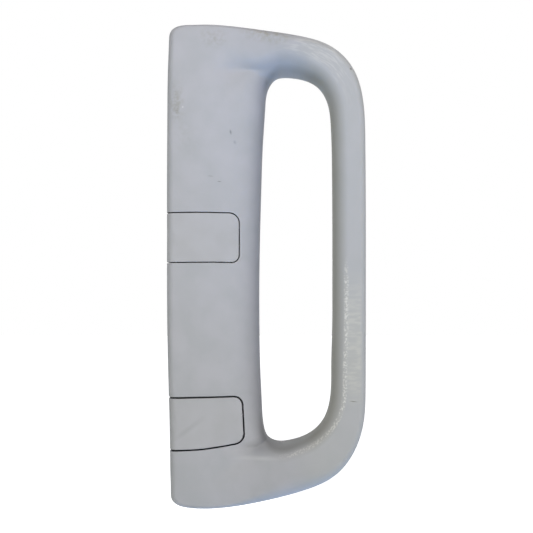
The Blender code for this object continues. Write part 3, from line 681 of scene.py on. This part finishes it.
def prism(name, place, grow, front, rear):
    """The pocket's outline seen from the front, drawn out from a front depth to a rear depth."""
    points, normals = outline_in_front(place, 200)
    ring = points + normals * grow
    rows = np.stack([np.column_stack([ring[:, 0], np.full(len(ring), -depth), ring[:, 1]])
                     for depth in (front, rear)])
    return capped(name, rows)


def slot(name, place, grow, front, rear):
    """The block of the hinge slot at the leg's left wall."""
    low, high = levels(place)
    right = place["hinge"][0] + BARREL + SLOT_ROOM + grow
    return capped(name, box_rows((LEFT_OF_ALL, -front, low - grow), (right, -rear, high + grow)))


hollow_edge = np.roll(spread_by_bend(outside, HOLLOW_CUTS), -HOLLOW_CUTS // 2, 0)
hollow_edge = hollow_edge[hollow_edge[:, 0] < HOLE_LEFT - 4 * MM]
hollow_rows = sections(hollow_edge, nearest_on(opening, hollow_edge), WALL, *HOLLOW_STEPS)
hollow = new_object("hollow", capped("hollow", hollow_rows))
kept = [capped("rib", box_rows((-RIB / 2, -PAST_FRONT, -0.2), (RIB / 2, -PAST_REAR, 0.2)))]
for height in np.arange(-3, 7) * RIB_SPACING:
    if all(abs(height - place["screw"]) > TRAY_REACH for place in places):
        low = (LEG_LEFT - CLEAR, -PAST_FRONT, height - RIB / 2)
        kept.append(capped("rib", box_rows(low, (LEG_ENDS, -RIB_SHORT, height + RIB / 2))))
for place in places:
    tower = rod(BUSH_RADIUS + CLEAR + TOWER_WALL, PAST_REAR, PAST_FRONT)
    kept += [prism("tray", place, WALL, PAST_FRONT, POCKET_FLOOR - FLOOR_THICK),
             slot("slot_wall", place, WALL, PAST_FRONT, PAST_REAR),
             turned("tower", tower, 0, 0, place["screw"], "front")]
carve(hollow, [("DIFFERENCE", joined("kept", kept))], overlaps=True)

# %% [markdown]
# ## Opening the pockets
#
# On the real handle a pocket holds the screw's head, and a slot beside it takes the hinge barrel. Each
# is cut a hair smaller than the lip above it, so that no two cutters share a face, which the Boolean
# would have to guess about. Bores take the bush and the two hinge pins.

# %% Pockets, slots and bores
HIDDEN, SOCKET_DEPTH, PAST_FLOOR = 0.15 * MM, 2 * MM, 1 * MM
cuts = [hollow.data]
for place in places:
    low, high = levels(place)
    socket = rod(PIN + CLEAR, low - SOCKET_DEPTH, high + SOCKET_DEPTH)
    bore = rod(BUSH_RADIUS + CLEAR, -PAST_FLOOR, POCKET_FLOOR + PAST_FLOOR)
    cuts += [carried_round("pocket_lip", outline_on_skin(place, SLOT_BRIDGE), pocket_profile()),
             prism("pocket", place, -HIDDEN, PAST_FRONT, POCKET_FLOOR),
             slot("slot", place, -2 * HIDDEN, POCKET_FLOOR + PAST_FLOOR, SLOT_BRIDGE + HIDDEN),
             turned("bore", bore, 0, 0, place["screw"], "front"),
             turned("sockets", socket, *place["hinge"][:2], 0, "up", 32)]
carve(moulding, [("DIFFERENCE", mesh) for mesh in cuts])
bpy.data.objects.remove(hollow, do_unlink=True)

# %% [markdown]
# ## The two covers
#
# A cover is moulded in one piece with its hinge barrel, a pin at each end and a small catch on the far
# side. The plate is the profile carried round, the barrel and pins are one turned rod, and the catch is
# a block that reaches down from the underside. They are joined into one closed mesh.

# %% Covers
PIN_REACH, CATCH_HALF, CATCH_THICK, CATCH_DEPTH, IN_PLATE = 1.7 * MM, 5 * MM, 1.6 * MM, 21 * MM, 1.2 * MM
covers = {}
for place in places:
    name, (axis_x, axis_y, _) = place["node"], place["hinge"]
    outline = outline_on_skin(place, COVER_START)
    cover = new_object("grained_" + name, carried_round(name, outline, cover_profile(place)))
    low, high = levels(place)
    short = place["seam"] + CLEAR
    barrel = [(0, low - PIN_REACH), (PIN, low - PIN_REACH), (PIN, low + short), (BARREL, low + short),
              (BARREL, high - short), (PIN, high - short), (PIN, high + PIN_REACH), (0, high + PIN_REACH)]
    heights = place["screw"] + np.array((-CATCH_HALF, CATCH_HALF))
    face = read_sheet(sheet_x, np.full(2, place["catch"]), heights)[:, 1].max()
    catch = box_rows((place["catch"] - CATCH_THICK, face + IN_PLATE, heights[0]),
                     (place["catch"], -CATCH_DEPTH, heights[1]))
    carve(cover, [("UNION", turned("barrel", barrel, axis_x, axis_y, 0, "up", 32)),
                  ("UNION", capped("catch", catch))])
    covers[name] = cover

# %% [markdown]
# ## Screws, washers and bushes
#
# They hardly show, but a workshop would see them at once with a cover open or from behind. A screw is
# turned and rolled: the thread is a radius that rises and falls with the height plus the angle, and
# the head is a radius that follows a hexagon. One grid of angle and length makes all of it, where a
# modelled spiral would need a separate profile carried round nearly twenty turns.

# %% Screws, washers and bushes
PITCH, SCREW_LENGTH, HEAD_HEIGHT, ACROSS_FLATS = 1.25 * MM, 35 * MM, 5.3 * MM, 13 * MM
THREADED, THREAD_FADE, THREAD_DEPTH, TIP_RADIUS = 24 * MM, 3 * MM, 0.55 * MM, 2.9 * MM
WASHER_THICK, WASHER_RADIUS = 1.6 * MM, 8 * MM
TOP_RADIUS, HEAD_SLOPE = 0.46 * ACROSS_FLATS, math.tan(math.radians(30))
UNDER_HEAD, HEAD_EDGE = 0.15 * MM, 0.12 * MM


def screw_rows(z):
    """Rows from the tip to the top of the head, each a closed ring round the screw's axis.

    The thread's radius falls by up to its depth as a triangle wave of height over pitch less turns.
    The head's radius is half the width across flats over the cosine of the angle from a flat. Its
    corners are cut back by a cone that starts at the top's radius.
    """
    angle = np.linspace(0, 2 * math.pi, 96, endpoint=False)
    seat = POCKET_FLOOR + 2 * CLEAR + WASHER_THICK
    tip, top = seat - SCREW_LENGTH, seat + HEAD_HEIGHT
    along = np.arange(tip, tip + THREADED, PITCH / 8)[:, None]
    wave = np.abs(((along - tip) / PITCH - angle / (2 * math.pi)) % 1 - 0.5) * 2
    fade = ramp(along, tip + THREADED, tip + THREADED - THREAD_FADE)
    thread = np.minimum(SHANK_RADIUS - THREAD_DEPTH * wave * fade, TIP_RADIUS + along - tip)
    hexagon = ACROSS_FLATS / 2 / np.cos((angle + math.pi / 6) % (math.pi / 3) - math.pi / 6)
    edge = top - HEAD_SLOPE * np.maximum(hexagon - TOP_RADIUS, 0)
    full = np.ones_like(angle)
    radius = [thread, SHANK_RADIUS * full, hexagon - UNDER_HEAD, hexagon, hexagon, hexagon - HEAD_EDGE,
              TOP_RADIUS * full, TOP_RADIUS / 2 * full]
    depth = [along * full, seat * full, seat * full, (seat + UNDER_HEAD) * full, edge - HEAD_EDGE, edge,
             top * full, top * full]
    r, d = np.vstack(radius), np.vstack(depth)
    return np.stack([r * np.cos(angle), -d, r * np.sin(angle) + z], 2)


def ring_profile(outer, low, high, edge):
    """A flat ring round the shank, with its outer edges broken."""
    hole = SHANK_RADIUS + CLEAR
    return [(hole, low), (hole, high), (outer - edge, high), (outer, high - edge), (outer, low + edge),
            (outer - edge, low)]


fasteners = {}
for place in places:
    z = place["screw"]
    washer_low = POCKET_FLOOR + CLEAR
    washer = ring_profile(WASHER_RADIUS, washer_low, washer_low + WASHER_THICK, 0.2 * MM)
    bush = ring_profile(BUSH_RADIUS, 0, POCKET_FLOOR, 0.4 * MM)
    for node, finish, mesh in (
            ("_screw", "_hexagon_screw", capped("screw", screw_rows(z))),
            ("_washer", "_plain_washer", turned("washer", washer, 0, 0, z, "front", 96, closed=True)),
            ("_bush", "_spacer_bush", turned("bush", bush, 0, 0, z, "front", 96, closed=True))):
        fasteners[place["side"] + node] = new_object(place["side"] + finish, mesh)
print("fasteners:", ", ".join(sorted(fasteners)))

# %% [markdown]
# ## Materials
#
# The moulding is polypropylene or a similar grey plastic, coloured right through and moulded in an
# etched steel tool. The etching gives it a fine leather-like grain and a satin gloss. Years of hands
# have polished the grip, and dirt has settled in the grain. Painted image textures could show that
# too, but noise and soft-edged masks on the piece's own coordinates stay sharp at any distance.

# %% Node helper and colours
def linear(code):
    """An sRGB hex colour as linear red, green, blue and alpha."""
    values = [int(code[k:k + 2], 16) / 255 for k in (1, 3, 5)]
    return [v / 12.92 if v <= 0.04045 else ((v + 0.055) / 1.055) ** 2.4 for v in values] + [1.0]


def add(tree, kind, values=None, links=None, **settings):
    """Add one node, set its properties and input values, and link its inputs to other sockets."""
    node = tree.nodes.new(kind)
    for name, value in settings.items():
        setattr(node, name, value)
    for key, value in (values or {}).items():
        node.inputs[key].default_value = value
    for key, socket in (links or {}).items():
        tree.links.new(socket, node.inputs[key])
    return node


def new_material(name):
    """An empty material with a Principled shader, and its coordinates in millimetres."""
    material = bpy.data.materials.new(name)
    material.use_nodes = True
    tree = material.node_tree
    shader = tree.nodes["Principled BSDF"]
    place = add(tree, "ShaderNodeTexCoord").outputs["Object"]
    in_mm = add(tree, "ShaderNodeMapping", {"Scale": (1000, 1000, 1000)}, {"Vector": place})
    return material, tree, shader, in_mm.outputs["Vector"]


print("mid grey #808080 is %.3f in linear light" % linear("#808080")[0])

# %% [markdown]
# ## Two measures kept on the plastic
#
# Painted shade lies in the gap round a cover, and grime, wear, painted shade and painted highlights
# follow the rim of the finger opening. A shader can't see either, so both distances are worked out once
# for every point and kept on the mesh as attributes, which the material then reads.

# %% Measures kept on the plastic
def sunk_below_skin(points):
    """How far points in the pockets lie below the leg's skin, in millimetres, and 0 elsewhere.

    A point is in a pocket where its largest distance past any tangent of the outline is small.
    """
    x, y, z = points.T
    beyond = np.full(len(points), 1.0)
    for place in places:
        ring, normals = outline_in_front(place, 160)
        distance = points[:, [0, 2]] @ normals.T - (ring * normals).sum(1)
        beyond = np.minimum(beyond, distance.max(1))
    chosen = (beyond < LIP) & ((-y > POCKET_FLOOR - 1 * MM) | (x < LEG_LEFT + 7 * MM))
    sunk = np.zeros(len(points))
    front = y[chosen] - read_sheet(sheet_x, x[chosen], z[chosen])[:, 1]
    sunk[chosen] = np.maximum(np.minimum(front, x[chosen] - left_edge(z[chosen])), 0) / MM
    return sunk


def from_opening(points):
    """How far points lie from the finger opening as seen from the front, in millimetres.

    The points are taken in a dozen lots, which keeps the table of distances small.
    """
    line = opening[::15]
    parts = [np.linalg.norm(part[:, None] - line[None], axis=2).min(1)
             for part in np.array_split(points[:, [0, 2]], 12)]
    return np.concatenate(parts) / MM


for obj in (moulding, *covers.values()):
    points = np.empty(3 * len(obj.data.vertices))
    obj.data.vertices.foreach_get("co", points)
    points = points.reshape(-1, 3)
    for name, measure in (("sunk", sunk_below_skin), ("from_opening", from_opening)):
        values = measure(points)
        obj.data.attributes.new(name, "FLOAT", "POINT").data.foreach_set("value", values)
        print("%s: %s up to %.1f mm" % (obj.name, name, values.max()))

# %% [markdown]
# ## The plastic itself
#
# Grained polypropylene hardly mirrors: its grain breaks every highlight into a soft sheen. A cell
# pattern with fine noise gives the grain as bump, a slow cloud keeps the grey from being perfectly
# even, and painted shade darkens the gap round each cover. The marks are laid over that by masks.

# %% Masks and grained plastic
GRAIN, FINE_GRAIN, CLOUD = 0.9, 0.45, 16
MATT, POLISHED = 0.6, 0.35


def faded(tree, value, zero_at, one_at):
    """A mask that goes from 0 to 1 while a value goes from one number to another."""
    fade = add(tree, "ShaderNodeMapRange", {"From Min": zero_at, "From Max": one_at}, {"Value": value})
    return fade.outputs[0]


def combined(tree, operation, first, *others):
    """Masks and numbers multiplied, or joined by another operation, one after another."""
    for other in others:
        node = add(tree, "ShaderNodeMath", links={0: first}, operation=operation)
        if isinstance(other, (int, float)):
            node.inputs[1].default_value = other
        else:
            tree.links.new(other, node.inputs[1])
        first = node.outputs[0]
    return first


def tinted(tree, colour, mask, code, strength=None):
    """Lay a colour over another by a mask, at full strength or less."""
    if strength:
        mask = combined(tree, "MULTIPLY", mask, strength)
    mix = add(tree, "ShaderNodeMix", {7: linear(code)}, {0: mask, 6: colour}, data_type="RGBA")
    return mix.outputs[2]


def spotted(tree, in_mm, colour, spots, soft, *through):
    """Lay soft-edged ellipses over a colour, each also seen through further masks.

    A spot is (x, z, half width, half height, tilt, strength, colour). Its mask is 1 inside the
    ellipse seen from the front and fades to 0 at its edge.
    """
    for x, z, half_wide, half_tall, tilt, strength, code in spots:
        flat = add(tree, "ShaderNodeMapping",
                   {"Location": (x, 0, z), "Rotation": (0, math.radians(-tilt), 0),
                    "Scale": (half_wide, 1000, half_tall)},
                   {"Vector": in_mm}, vector_type="TEXTURE")
        length = add(tree, "ShaderNodeVectorMath", links={0: flat.outputs[0]}, operation="LENGTH")
        mask = faded(tree, length.outputs["Value"], 1.0, 1.0 - soft)
        colour = tinted(tree, colour, combined(tree, "MULTIPLY", mask, *through, strength), code)
    return colour


def grained_plastic(name, tone, marks, shade_depth):
    """Grey polypropylene with a leather grain about 0.9 mm across, and marks laid over it.

    Painted shade fills the gap round a cover down to a depth in millimetres.
    """
    material, tree, shader, in_mm = new_material(name)
    cells = add(tree, "ShaderNodeTexVoronoi", {"Scale": 1 / GRAIN}, {"Vector": in_mm}, feature="F1")
    fine = add(tree, "ShaderNodeTexNoise", {"Scale": 1 / FINE_GRAIN, "Detail": 2.0}, {"Vector": in_mm})
    grain = combined(tree, "MULTIPLY", cells.outputs["Distance"], 0.6)
    relief = combined(tree, "ADD", grain, fine.outputs[0])
    bump = add(tree, "ShaderNodeBump", {"Strength": 0.35, "Distance": 0.05 * MM}, {"Height": relief})
    cloud = add(tree, "ShaderNodeTexNoise", {"Scale": 1 / CLOUD, "Detail": 3.0}, {"Vector": in_mm})
    shade = faded(tree, cloud.outputs[0], 0.35, 0.65)
    base = add(tree, "ShaderNodeMix", {6: linear(tone[0]), 7: linear(tone[1])}, {0: shade},
               data_type="RGBA")
    colour, polish = marks(tree, in_mm, base.outputs[2])
    sunk = add(tree, "ShaderNodeAttribute", attribute_name="sunk").outputs["Fac"]
    # Painted shade: the gap round a cover, from 0.3 mm below the skin down to the given depth, is drawn
    # near-black.
    above_floor = faded(tree, sunk, shade_depth, shade_depth - 0.3)
    gap_shade = combined(tree, "MULTIPLY", faded(tree, sunk, 0.3, 0.9), above_floor)
    colour = tinted(tree, colour, gap_shade, "#1d1e21")
    tree.links.new(colour, shader.inputs["Base Color"])
    tree.links.new(bump.outputs[0], shader.inputs["Normal"])
    shader.inputs["Roughness"].default_value = MATT
    if polish:
        rough = add(tree, "ShaderNodeMapRange", {"To Min": MATT, "To Max": POLISHED}, {"Value": polish})
        tree.links.new(rough.outputs[0], shader.inputs["Roughness"])
    shader.inputs["IOR"].default_value = 1.49
    shader.inputs["Specular IOR Level"].default_value = 0.15
    print("%s: %d nodes" % (name, len(tree.nodes)))
    return material


# %% [markdown]
# ## The marks of use
#
# Skin grease and dust have toned the slopes round the opening, and painted shade darkens them towards the
# rim. The heel of the hand has worn the grain's tops bright in a line down the grip and in a patch on its
# right flank, and painted glints and a painted highlight lie along that line and round the grip's upper
# corner. Painted shade lies in the crease at the low arm's end. Dirt clings to the top and the upper left
# edge, and there are a few nicks. Each kind has its own small function. The places are in millimetres
# as seen from the front, and inwards is the distance from the opening's rim.

# %% Marks on the moulding
# Spots are (x, z, half width, half height, tilt in degrees, strength, colour).
# The first of these two spots is a painted highlight along the low arm's crest, the second painted shade in
# the crease above it.
CREST_HIGHLIGHT_AND_SHADE = ((33.0, -76.8, 18.0, 1.7, 2, 0.45, "#cdcfd1"), (33.0, -71.0, 14.0, 6.0, 10, 0.5, "#868789"))
GRIME = (
    (5.0, 176.5, 11.0, 8.0, 0, 0.45, "#9c9b96"),
    (38.0, 177.5, 20.0, 7.0, -12, 0.65, "#9f9c90"),
    (-17.0, 138.0, 5.5, 14.0, 0, 0.6, "#98978f"),
    (-17.0, 132.5, 2.2, 5.0, 0, 0.6, "#8c8b85"),
    (-12.0, 118.0, 9.0, 22.0, 12, 0.3, "#a9abac"))
NICKS = (
    (15.7, 119.6, 0.8, 1.9, 10, 1.0, "#8b8f93"),
    (18.2, 113.5, 1.1, 1.6, 20, 1.0, "#a3a6ad"),
    (8.9, 89.7, 1.6, 0.4, -5, 1.0, "#8c8d8f"),
    (3.6, 93.0, 2.4, 0.35, -5, 1.0, "#9b9c9e"),
    (-13.2, 134.7, 0.7, 0.7, 0, 1.0, "#cfd1d2"),
    (87.0, 154.5, 0.9, 0.9, 0, 1.0, "#7b7b7b"),
    (88.5, -41.2, 3.0, 0.3, -6, 1.0, "#77786f"))
SCUFF = ((-9.7, -59.7, 14.0, 2.2, 37, 0.3, "#95979a"),)


def soiled_and_shaded_slopes(tree, colour, x, z, inwards):
    """A warmer grip, grime and painted shade on the slope towards the opening, most at its rim, and painted
    shade on the rim near both ends.
    """
    on_grip = faded(tree, x, 52, 66)
    on_low_arm = combined(tree, "MULTIPLY", faded(tree, z, -50, -62), faded(tree, x, 24, 40))
    colour = tinted(tree, colour, on_grip, "#b3b6b5", 0.5)
    where = combined(tree, "MAXIMUM", combined(tree, "MULTIPLY", on_grip, 0.45),
                     combined(tree, "MULTIPLY", on_low_arm, 0.25))
    # Partly grime, partly painted shade: the inner slope is drawn darker and warmer towards the opening's
    # rim.
    grime_and_shade = combined(tree, "MULTIPLY", faded(tree, inwards, 7.5, 1.0), where)
    colour = tinted(tree, colour, grime_and_shade, "#86826f")
    # Painted shade: the rim of the opening near its top and bottom ends is drawn darker.
    at_ends = combined(tree, "MAXIMUM", on_low_arm, faded(tree, z, 144, 152))
    rim = combined(tree, "MULTIPLY", faded(tree, inwards, 3.2, 0.8), 0.35, at_ends)
    return tinted(tree, colour, rim, "#6f6f69")


def worn_flank(tree, colour, in_mm, x, z):
    """The patch on the grip's right flank, with fine streaks across it. It gives the patch's mask too."""
    squashed = add(tree, "ShaderNodeMapping", {"Scale": (0.16, 0.16, 0.6)}, {"Vector": in_mm})
    ripple = add(tree, "ShaderNodeTexNoise", {"Scale": 1.0, "Detail": 2.0},
                 {"Vector": squashed.outputs[0]})
    worn = combined(tree, "MULTIPLY", faded(tree, x, 82, 86), faded(tree, x, 94, 92),
                    faded(tree, z, 36, 8), faded(tree, z, -46, -26))
    streaks = combined(tree, "MULTIPLY", faded(tree, ripple.outputs[0], 0.42, 0.62), worn)
    colour = tinted(tree, colour, worn, "#bcbeb8", 0.4)
    return tinted(tree, colour, streaks, "#cccdc7", 0.5), worn


def worn_line_and_glints(tree, in_mm, x, z, inwards):
    """A band of wear and painted highlight down the grip's inner slope and on to the low arm, and the
    painted glints in it.

    It lies 6.9 mm from the opening's rim and comes nearer to it, 3.9 mm, on the low arm.
    """
    line_at = add(tree, "ShaderNodeMapRange",
                  {"From Min": -68, "From Max": -44, "To Min": 3.9, "To Max": 6.9}, {"Value": z})
    off_line = combined(tree, "SUBTRACT", inwards, line_at.outputs[0])
    off_line = add(tree, "ShaderNodeMath", links={0: off_line}, operation="ABSOLUTE").outputs[0]
    less_low = add(tree, "ShaderNodeMapRange",
                   {"From Min": -66, "From Max": -46, "To Min": 0.5, "To Max": 1.0}, {"Value": z})
    by_hand = combined(tree, "MULTIPLY", faded(tree, z, 44, 30), faded(tree, x, 42, 54),
                       less_low.outputs[0])
    band = combined(tree, "MULTIPLY", faded(tree, off_line, 1.7, 0.5), by_hand)
    grain = add(tree, "ShaderNodeTexNoise", {"Scale": 1.0, "Detail": 0.0}, {"Vector": in_mm})
    return band, combined(tree, "MULTIPLY", band, faded(tree, grain.outputs[0], 0.52, 0.59))


def rubbed_corner_glints(tree, x, z, inwards):
    """Faint painted glints on rubbed grain round the grip's upper corner, drawn out along the opening's
    rim.
    """
    along_rim = add(tree, "ShaderNodeCombineXYZ", links={
        "X": combined(tree, "MULTIPLY", inwards, 1.3), "Y": combined(tree, "MULTIPLY", x, 0.16),
        "Z": combined(tree, "MULTIPLY", z, 0.16)})
    wisp = add(tree, "ShaderNodeTexNoise", {"Scale": 1.0, "Detail": 3.0},
               {"Vector": along_rim.outputs[0]})
    corner = combined(tree, "MULTIPLY", faded(tree, x, 40, 58), faded(tree, x, 90, 78),
                      faded(tree, z, 120, 146))
    return combined(tree, "MULTIPLY", faded(tree, wisp.outputs[0], 0.48, 0.62), corner,
                    faded(tree, inwards, 6.0, 10.0), 0.35)


def body_marks(tree, in_mm, colour):
    """All marks on the moulding, one over another, painted highlights and shade among them. It gives the
    colour and how polished each place is.
    """
    axes = add(tree, "ShaderNodeSeparateXYZ", links={0: in_mm})
    x, z = axes.outputs["X"], axes.outputs["Z"]
    inwards = add(tree, "ShaderNodeAttribute", attribute_name="from_opening").outputs["Fac"]
    colour = soiled_and_shaded_slopes(tree, colour, x, z, inwards)
    colour, worn = worn_flank(tree, colour, in_mm, x, z)
    band, specks = worn_line_and_glints(tree, in_mm, x, z, inwards)
    glints = combined(tree, "MAXIMUM", specks, rubbed_corner_glints(tree, x, z, inwards))
    # Painted highlights on worn, polished grain: the band along the crest is drawn lighter, and the glints
    # in it and round the upper corner nearly white.
    colour = tinted(tree, colour, band, "#c6c7c3", 0.3)
    colour = tinted(tree, colour, glints, "#dfe0dc", 0.75)
    # Painted highlight on the low arm's crest and painted shade in the crease above it.
    colour = spotted(tree, in_mm, colour, CREST_HIGHLIGHT_AND_SHADE, 1.0)
    grime = add(tree, "ShaderNodeTexNoise", {"Scale": 1 / 3.0, "Detail": 4.0, "Roughness": 0.65},
                {"Vector": in_mm})
    colour = spotted(tree, in_mm, colour, GRIME, 0.8, faded(tree, grime.outputs[0], 0.4, 0.62))
    colour = spotted(tree, in_mm, colour, NICKS, 0.8)
    return colour, combined(tree, "MAXIMUM", combined(tree, "MULTIPLY", worn, 0.5), glints)


def cover_marks(tree, in_mm, colour):
    """A cover is nearly clean: one faint scuff runs across the lower one."""
    return spotted(tree, in_mm, colour, SCUFF, 1.0), None


plastic = grained_plastic("grained_grey_polypropylene", ("#b2b5ba", "#b8bac0"), body_marks, 5.0)
cover_plastic = grained_plastic("cover_grey_polypropylene", ("#b4b6ba", "#b9bbc0"), cover_marks, 2.3)

# %% [markdown]
# ## Metals
#
# The screws and washers are bought steel parts with a thin coat of bright zinc, which looks pale and a
# little warm. The bushes are cut from tube and turned, and stay bare. Both are plain metals with an
# uneven roughness, because a perfectly even one looks like a mirror ball.

# %% Zinc and turned steel
def uneven_metal(name, code, roughness):
    """A metal whose roughness varies a little in clouds of about 2 mm."""
    material, tree, shader, in_mm = new_material(name)
    cloud = add(tree, "ShaderNodeTexNoise", {"Scale": 1 / 1.8, "Detail": 3.0}, {"Vector": in_mm})
    rough = add(tree, "ShaderNodeMapRange", {"To Min": roughness - 0.08, "To Max": roughness + 0.1},
                {"Value": cloud.outputs[0]})
    tree.links.new(rough.outputs[0], shader.inputs["Roughness"])
    shader.inputs["Base Color"].default_value = linear(code)
    shader.inputs["Metallic"].default_value = 1.0
    print("%s: roughness about %.2f" % (name, roughness))
    return material


zinc = uneven_metal("zinc_plated_steel", "#c9c6b8", 0.36)
turned_steel = uneven_metal("turned_steel", "#b9b9b7", 0.4)

# %% [markdown]
# ## Fitting the pieces to the frame
#
# Each piece now gets its finish. It stands for one CAD node, and it moves with that node's body, so the
# covers swing on their hinges. Parenting by hand would do for one pose, and the frame does it for all.

# %% Fit everything to the frame
def dress(obj, material, body, node):
    """Give a piece its finish, and let it stand for a CAD node and move with its body."""
    obj.data.materials.clear()
    obj.data.materials.append(material)
    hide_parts(node)
    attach(obj, body)
    print("%s stands for %s" % (obj.name, node))


dress(moulding, plastic, "handle", "handle_body")
for node, cover in covers.items():
    dress(cover, cover_plastic, node, node)
for node, piece in fasteners.items():
    bushing = node.endswith("_bush")
    dress(piece, turned_steel if bushing else zinc, "handle", node)

# %% [markdown]
# ## Studio
#
# The photograph shows the handle cut out on plain white, under broad soft light. A pale floor lies far
# below, and the world is white only to the camera and to mirrors, so the background adds little light.

# %% Floor and background
FLOOR_LEVEL, FLOOR_SIZE = -0.42, 14
scene = bpy.context.scene
scene.view_settings.view_transform = "Standard"


def lit_or_white(tree, lit, white):
    """The lit surface or light for diffuse rays, and the white one for the camera, mirrors and glass."""
    path = add(tree, "ShaderNodeLightPath")
    seen = path.outputs["Is Camera Ray"]
    for name in ("Is Glossy Ray", "Is Transmission Ray"):
        seen = add(tree, "ShaderNodeMath", links={0: seen, 1: path.outputs[name]},
                   operation="MAXIMUM").outputs[0]
    return add(tree, "ShaderNodeMixShader", links={0: seen, 1: lit, 2: white}).outputs[0]


def floor_material(name, code, glow_near, glow_far):
    """A pale matt floor. To the camera it also glows, more so far from the object, so that it is white.

    The glow is added to the lit floor, so the object's shadow stays.
    """
    material = bpy.data.materials.new(name)
    material.use_nodes = True
    tree = material.node_tree
    shader = tree.nodes["Principled BSDF"]
    shader.inputs["Base Color"].default_value = linear(code)
    shader.inputs["Roughness"].default_value = 0.9
    place = add(tree, "ShaderNodeTexCoord").outputs["Object"]
    away = add(tree, "ShaderNodeVectorMath", links={0: place}, operation="LENGTH")
    glow = add(tree, "ShaderNodeMapRange", {"From Min": 0.6, "From Max": 1.3, "To Min": glow_near,
                                            "To Max": glow_far}, {"Value": away.outputs["Value"]})
    light = add(tree, "ShaderNodeEmission", links={"Strength": glow.outputs[0]})
    both = add(tree, "ShaderNodeAddShader", links={0: shader.outputs[0], 1: light.outputs[0]})
    either = lit_or_white(tree, shader.outputs[0], both.outputs[0])
    tree.links.new(either, tree.nodes["Material Output"].inputs["Surface"])
    return material


bpy.ops.mesh.primitive_plane_add(size=FLOOR_SIZE, location=(0, 0, FLOOR_LEVEL))
floor = bpy.context.object
floor.name = "floor"
floor.data.materials.append(floor_material("pale_floor", "#f4f4f4", 0.6, 1.0))

world = scene.world or bpy.data.worlds.new("studio")
scene.world = world
world.use_nodes = True
tree = world.node_tree
tree.nodes.clear()
soft = add(tree, "ShaderNodeBackground", {"Color": (0.92, 0.95, 1.0, 1.0), "Strength": 0.16})
white = add(tree, "ShaderNodeBackground", {"Color": (1, 1, 1, 1), "Strength": 1.0})
either = lit_or_white(tree, soft.outputs[0], white.outputs[0])
add(tree, "ShaderNodeOutputWorld", links={"Surface": either})
print("floor %.0f mm below the screws' middle" % (-FLOOR_LEVEL / MM))

# %% [markdown]
# ## Lamps
#
# A key lamp and one to each side model the face, and two bluish ones from below give the lower arm its
# cool underside. Two stand behind, so that light comes through the opening and round the edges as it
# does from a white backdrop. They are kept out of reflections, because at a grazing angle they would
# draw a bright line along the opening's rim. One picture of a studio wrapped round the world would be
# quicker, but a lamp can be moved or dimmed by itself.

# %% Lamps
def soft_box(name, place, target, size, watts, colour, spread=180):
    """A square soft lamp aimed at a point, with its colour as linear red, green and blue.

    A spread below 180 degrees makes it a gridded lamp, which lights a narrower cone.
    """
    lamp = bpy.data.lights.new(name, "AREA")
    lamp.shape = "SQUARE"
    lamp.size = size
    lamp.energy = watts
    lamp.color = colour
    lamp.spread = math.radians(spread)
    obj = bpy.data.objects.new(name, lamp)
    scene.collection.objects.link(obj)
    obj.location = place
    obj.rotation_euler = (Vector(target) - obj.location).to_track_quat("-Z", "Y").to_euler()
    obj.visible_camera = False
    print("%s lamp: %g W" % (name, watts))
    return obj


middle = (0.035, -0.02, 0.06)
soft_box("key", (0.035, -0.65, 0.36), middle, 0.45, 2.5, (0.97, 0.91, 1.0))
soft_box("front_left", (-0.20, -0.62, 0.14), middle, 0.45, 1.15, (0.97, 1.0, 0.74))
soft_box("right", (0.80, -0.24, 0.12), middle, 0.45, 2.0, (1.0, 0.98, 0.88))
soft_box("low", (0.12, -0.01, -0.41), (0.06, -0.03, 0.14), 0.4, 0.9, (0.2, 0.5, 1.0))
soft_box("under", (0.07, -0.33, -0.30), (0.05, -0.03, 0.16), 0.12, 0.014, (0.1, 0.4, 1.0), spread=22)
for name, place, watts in (("behind", (0.05, 1.3, 0.04), 6.5), ("behind_left", (-0.35, 0.9, 0.1), 2.0)):
    rear = soft_box(name, place, (0.035, 0.0, 0.04), 0.3, watts, (1.0, 1.0, 1.0))
    rear.visible_glossy = False

# %% [markdown]
# ## Camera
#
# The camera looks straight at the front from 550 mm away, about as near as a hand-held camera would be,
# so the grip stands out a little larger than the leg. Its small shift only frames the picture.

# %% Camera
camera = bpy.data.cameras.new("camera")
camera.lens = 57.81
camera.sensor_width = 36
camera.shift_x = 0.0011
camera.shift_y = 0.0347
camera.clip_start = 0.01
eye = bpy.data.objects.new("camera", camera)
scene.collection.objects.link(eye)
eye.location = (0.037, -0.55, 0.0273)
eye.rotation_euler = (math.pi / 2, 0, 0)
scene.camera = eye
print("camera: %.0f mm lens" % camera.lens)
